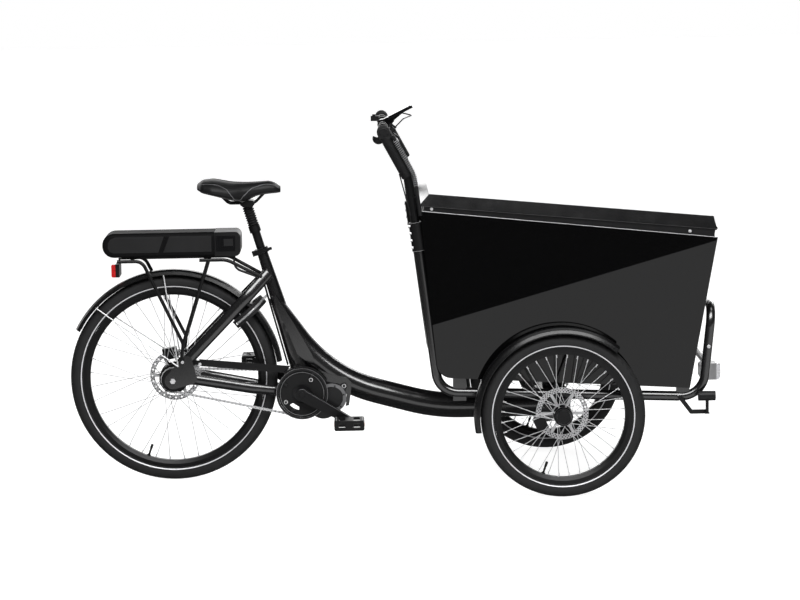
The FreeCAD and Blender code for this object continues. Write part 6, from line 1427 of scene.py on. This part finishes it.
@dataclass
class Stage:
    """The floor, lights and camera."""

    eye: Vector = fixed(-0.10225, -8.856, 1.770)
    pan: float = 0.78
    tilt: float = 7.79
    roll: float = 1.05
    focal_pixels: float = 2833.9
    image_width: float = 800.0
    sensor: float = 36.0
    far: float = 100.0
    floor_half: float = 30.0
    floor_base: float = 0.5
    floor_glow: float = 0.92
    mirror_outline: Pairs = ((-1.709, 0.45), (4.2, 11.25), (12, 11.25), (12, 0.45))
    mirror_height: float = 0.0005
    mirror_glow: float = 0.75
    wall_glow: float = 2.4
    room_glow: float = 0.04
    lights: tuple[SoftBox, ...] = (
        SoftBox("front_strip", (0.6, -3.6, 4.1), (0.2, 0, 0.6), (5.0, 2.0), 290),
        SoftBox("top_strip", (0.1, -0.9, 4.4), (0.1, 0, 0.4), (5.0, 0.7), 45),
        SoftBox("rear_box", (2.6, 3.6, 3.2), (0.2, 0, 0.6), (3.0, 0.9), 60))

    def camera(self) -> None:
        """Sets the camera where the photograph was taken from."""
        pan, tilt, roll = (math.radians(a) for a in (self.pan, self.tilt, self.roll))
        ahead = Vector((math.sin(pan) * math.cos(tilt), math.cos(pan) * math.cos(tilt), -math.sin(tilt)))
        level = Vector((math.cos(pan), -math.sin(pan), 0))
        upright = level.cross(ahead)
        right = level * math.cos(roll) - upright * math.sin(roll)
        up = level * math.sin(roll) + upright * math.cos(roll)
        turn = Matrix((right, up, -ahead)).transposed().to_4x4()
        data = bpy.data.cameras.new("photo_camera")
        data.sensor_width = self.sensor
        data.lens = self.focal_pixels / self.image_width * self.sensor
        data.clip_end = self.far
        camera = bpy.data.objects.new("photo_camera", data)
        camera.matrix_world = Matrix.Translation(self.eye) @ turn
        bpy.context.scene.collection.objects.link(camera)
        bpy.context.scene.camera = camera

    def floor(self, name: str, corners: Pairs, height: float, base: float, glow: float) -> bpy.types.Object:
        """Lays a pale matte sheet.

        Args:
            name: The sheet's name and its material's.
            corners: Its corners on the ground.
            height: Its height.
            base: How pale it is.
            glow: How much it glows.

        Returns:
            The sheet.
        """
        material = bpy.data.materials.new(name)
        material.use_nodes = True
        Graph(material.node_tree).surface({
            "Base Color": (base, base, base, 1.0), "Roughness": 0.7, "Specular IOR Level": 0.1,
            "Emission Color": (1.0, 1.0, 1.0, 1.0), "Emission Strength": glow})
        mesh = bpy.data.meshes.new(name)
        mesh.from_pydata([(x, y, height) for x, y in corners], [], [tuple(range(len(corners)))])
        mesh.materials.append(material)
        sheet = bpy.data.objects.new(name, mesh)
        bpy.context.scene.collection.objects.link(sheet)
        return sheet

    def world(self) -> None:
        """A white room to the camera, and a dim one with a bright back wall in reflections."""
        world = bpy.data.worlds.new("studio")
        bpy.context.scene.world = world
        world.use_nodes = True
        graph = Graph(world.node_tree)
        way = graph.node("ShaderNodeTexCoord", output="Generated")
        up = graph.node("ShaderNodeSeparateXYZ", inputs={0: way}, output="Z")
        back = graph.node("ShaderNodeSeparateXYZ", inputs={0: way}, output="Y")
        seen = graph.node("ShaderNodeLightPath", output="Is Camera Ray")
        band = up.smooth(-0.1, -0.03) * (1.0 - up.smooth(0.26, 0.36))
        room = back.smooth(0.6, 0.85) * band * self.wall_glow + self.room_glow
        strength = seen * (1.0 - room) + room
        shader = graph.node("ShaderNodeBackground", inputs={"Color": (1, 1, 1, 1), "Strength": strength})
        graph.node("ShaderNodeOutputWorld", inputs={"Surface": shader})

    def build(self) -> None:
        """Sets the stage."""
        self.camera()
        self.world()
        half = self.floor_half
        shown = self.floor("floor", ((-half, -half), (half, -half), (half, half), (-half, half)), 0.0,
                           self.floor_base, self.floor_glow)
        shown.visible_glossy = False
        for name, side in SIDES:
            corners = [(x, y * side) for x, y in self.mirror_outline]
            mirror = self.floor(f"floor_in_{name}_reflections", corners, self.mirror_height, 0.0,
                                self.mirror_glow)
            mirror.visible_camera = False
            mirror.visible_shadow = False
            mirror.visible_diffuse = False
        for light in self.lights:
            light.hang()
        bpy.context.scene.view_settings.view_transform = "Standard"


@dataclass
class Solids:
    """The finishes of the solids that are shown as they are."""

    red_depth: float = 0.0128
    clear_depth: float = 0.012
    lamp_half: float = 0.04
    axle_half: float = 0.067
    stay_reach: float = 0.3285

    def dress(self) -> None:
        """Gives every solid its finish, and some of their faces another."""
        for look, nodes in DRESSED.items():
            for node in nodes:
                zone(node, (look,))
        rear = joint("rear_wheel_spin")
        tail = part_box("rear_light")[0].x
        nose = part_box("front_lamps")[1].x
        zone("rear_light", (Look.PLASTIC, Look.RED), lambda c: int(c.x < tail + self.red_depth))
        zone("front_lamps", (Look.PLASTIC, Look.CLEAR, Look.PALE_METAL_AND_HIGHLIGHT), lambda c: (
            1 if c.x > nose - self.clear_depth else 2 if abs(c.y) < self.lamp_half else 0))
        zone("rear_axle", (Look.PLASTIC, Look.STEEL), lambda c: int(abs(c.y) > self.axle_half or c.y > 0))
        zone("rear_fender", (Look.FENDER, Look.STEEL), lambda c: int(
            math.hypot(c.x - rear.x, c.z - rear.z) < self.stay_reach))
        log.info("dressed %d groups of solids", len(DRESSED))


def main() -> None:
    """Builds every sub-assembly in order."""
    logging.basicConfig(level=logging.INFO)
    Solids().dress()
    rear = joint("rear_wheel_spin")
    Wheel("rear", 84, lambda c: int(math.hypot(c.x - rear.x, c.z - rear.z) > REAR_HUB_RADIUS)).build()
    for side, _ in SIDES:
        Wheel(f"front_{side}", 66,
              lambda c: int(abs(abs(c.y) - FRONT_ROTOR_PLACE) < FRONT_ROTOR_HALF)).build()
    for part in (Chain(), Seat(), Drive(), Cockpit(), CargoBox(), Mudguards(), Power(), Lamps(), Stage()):
        part.build()


if __name__ == "__main__":
    main()
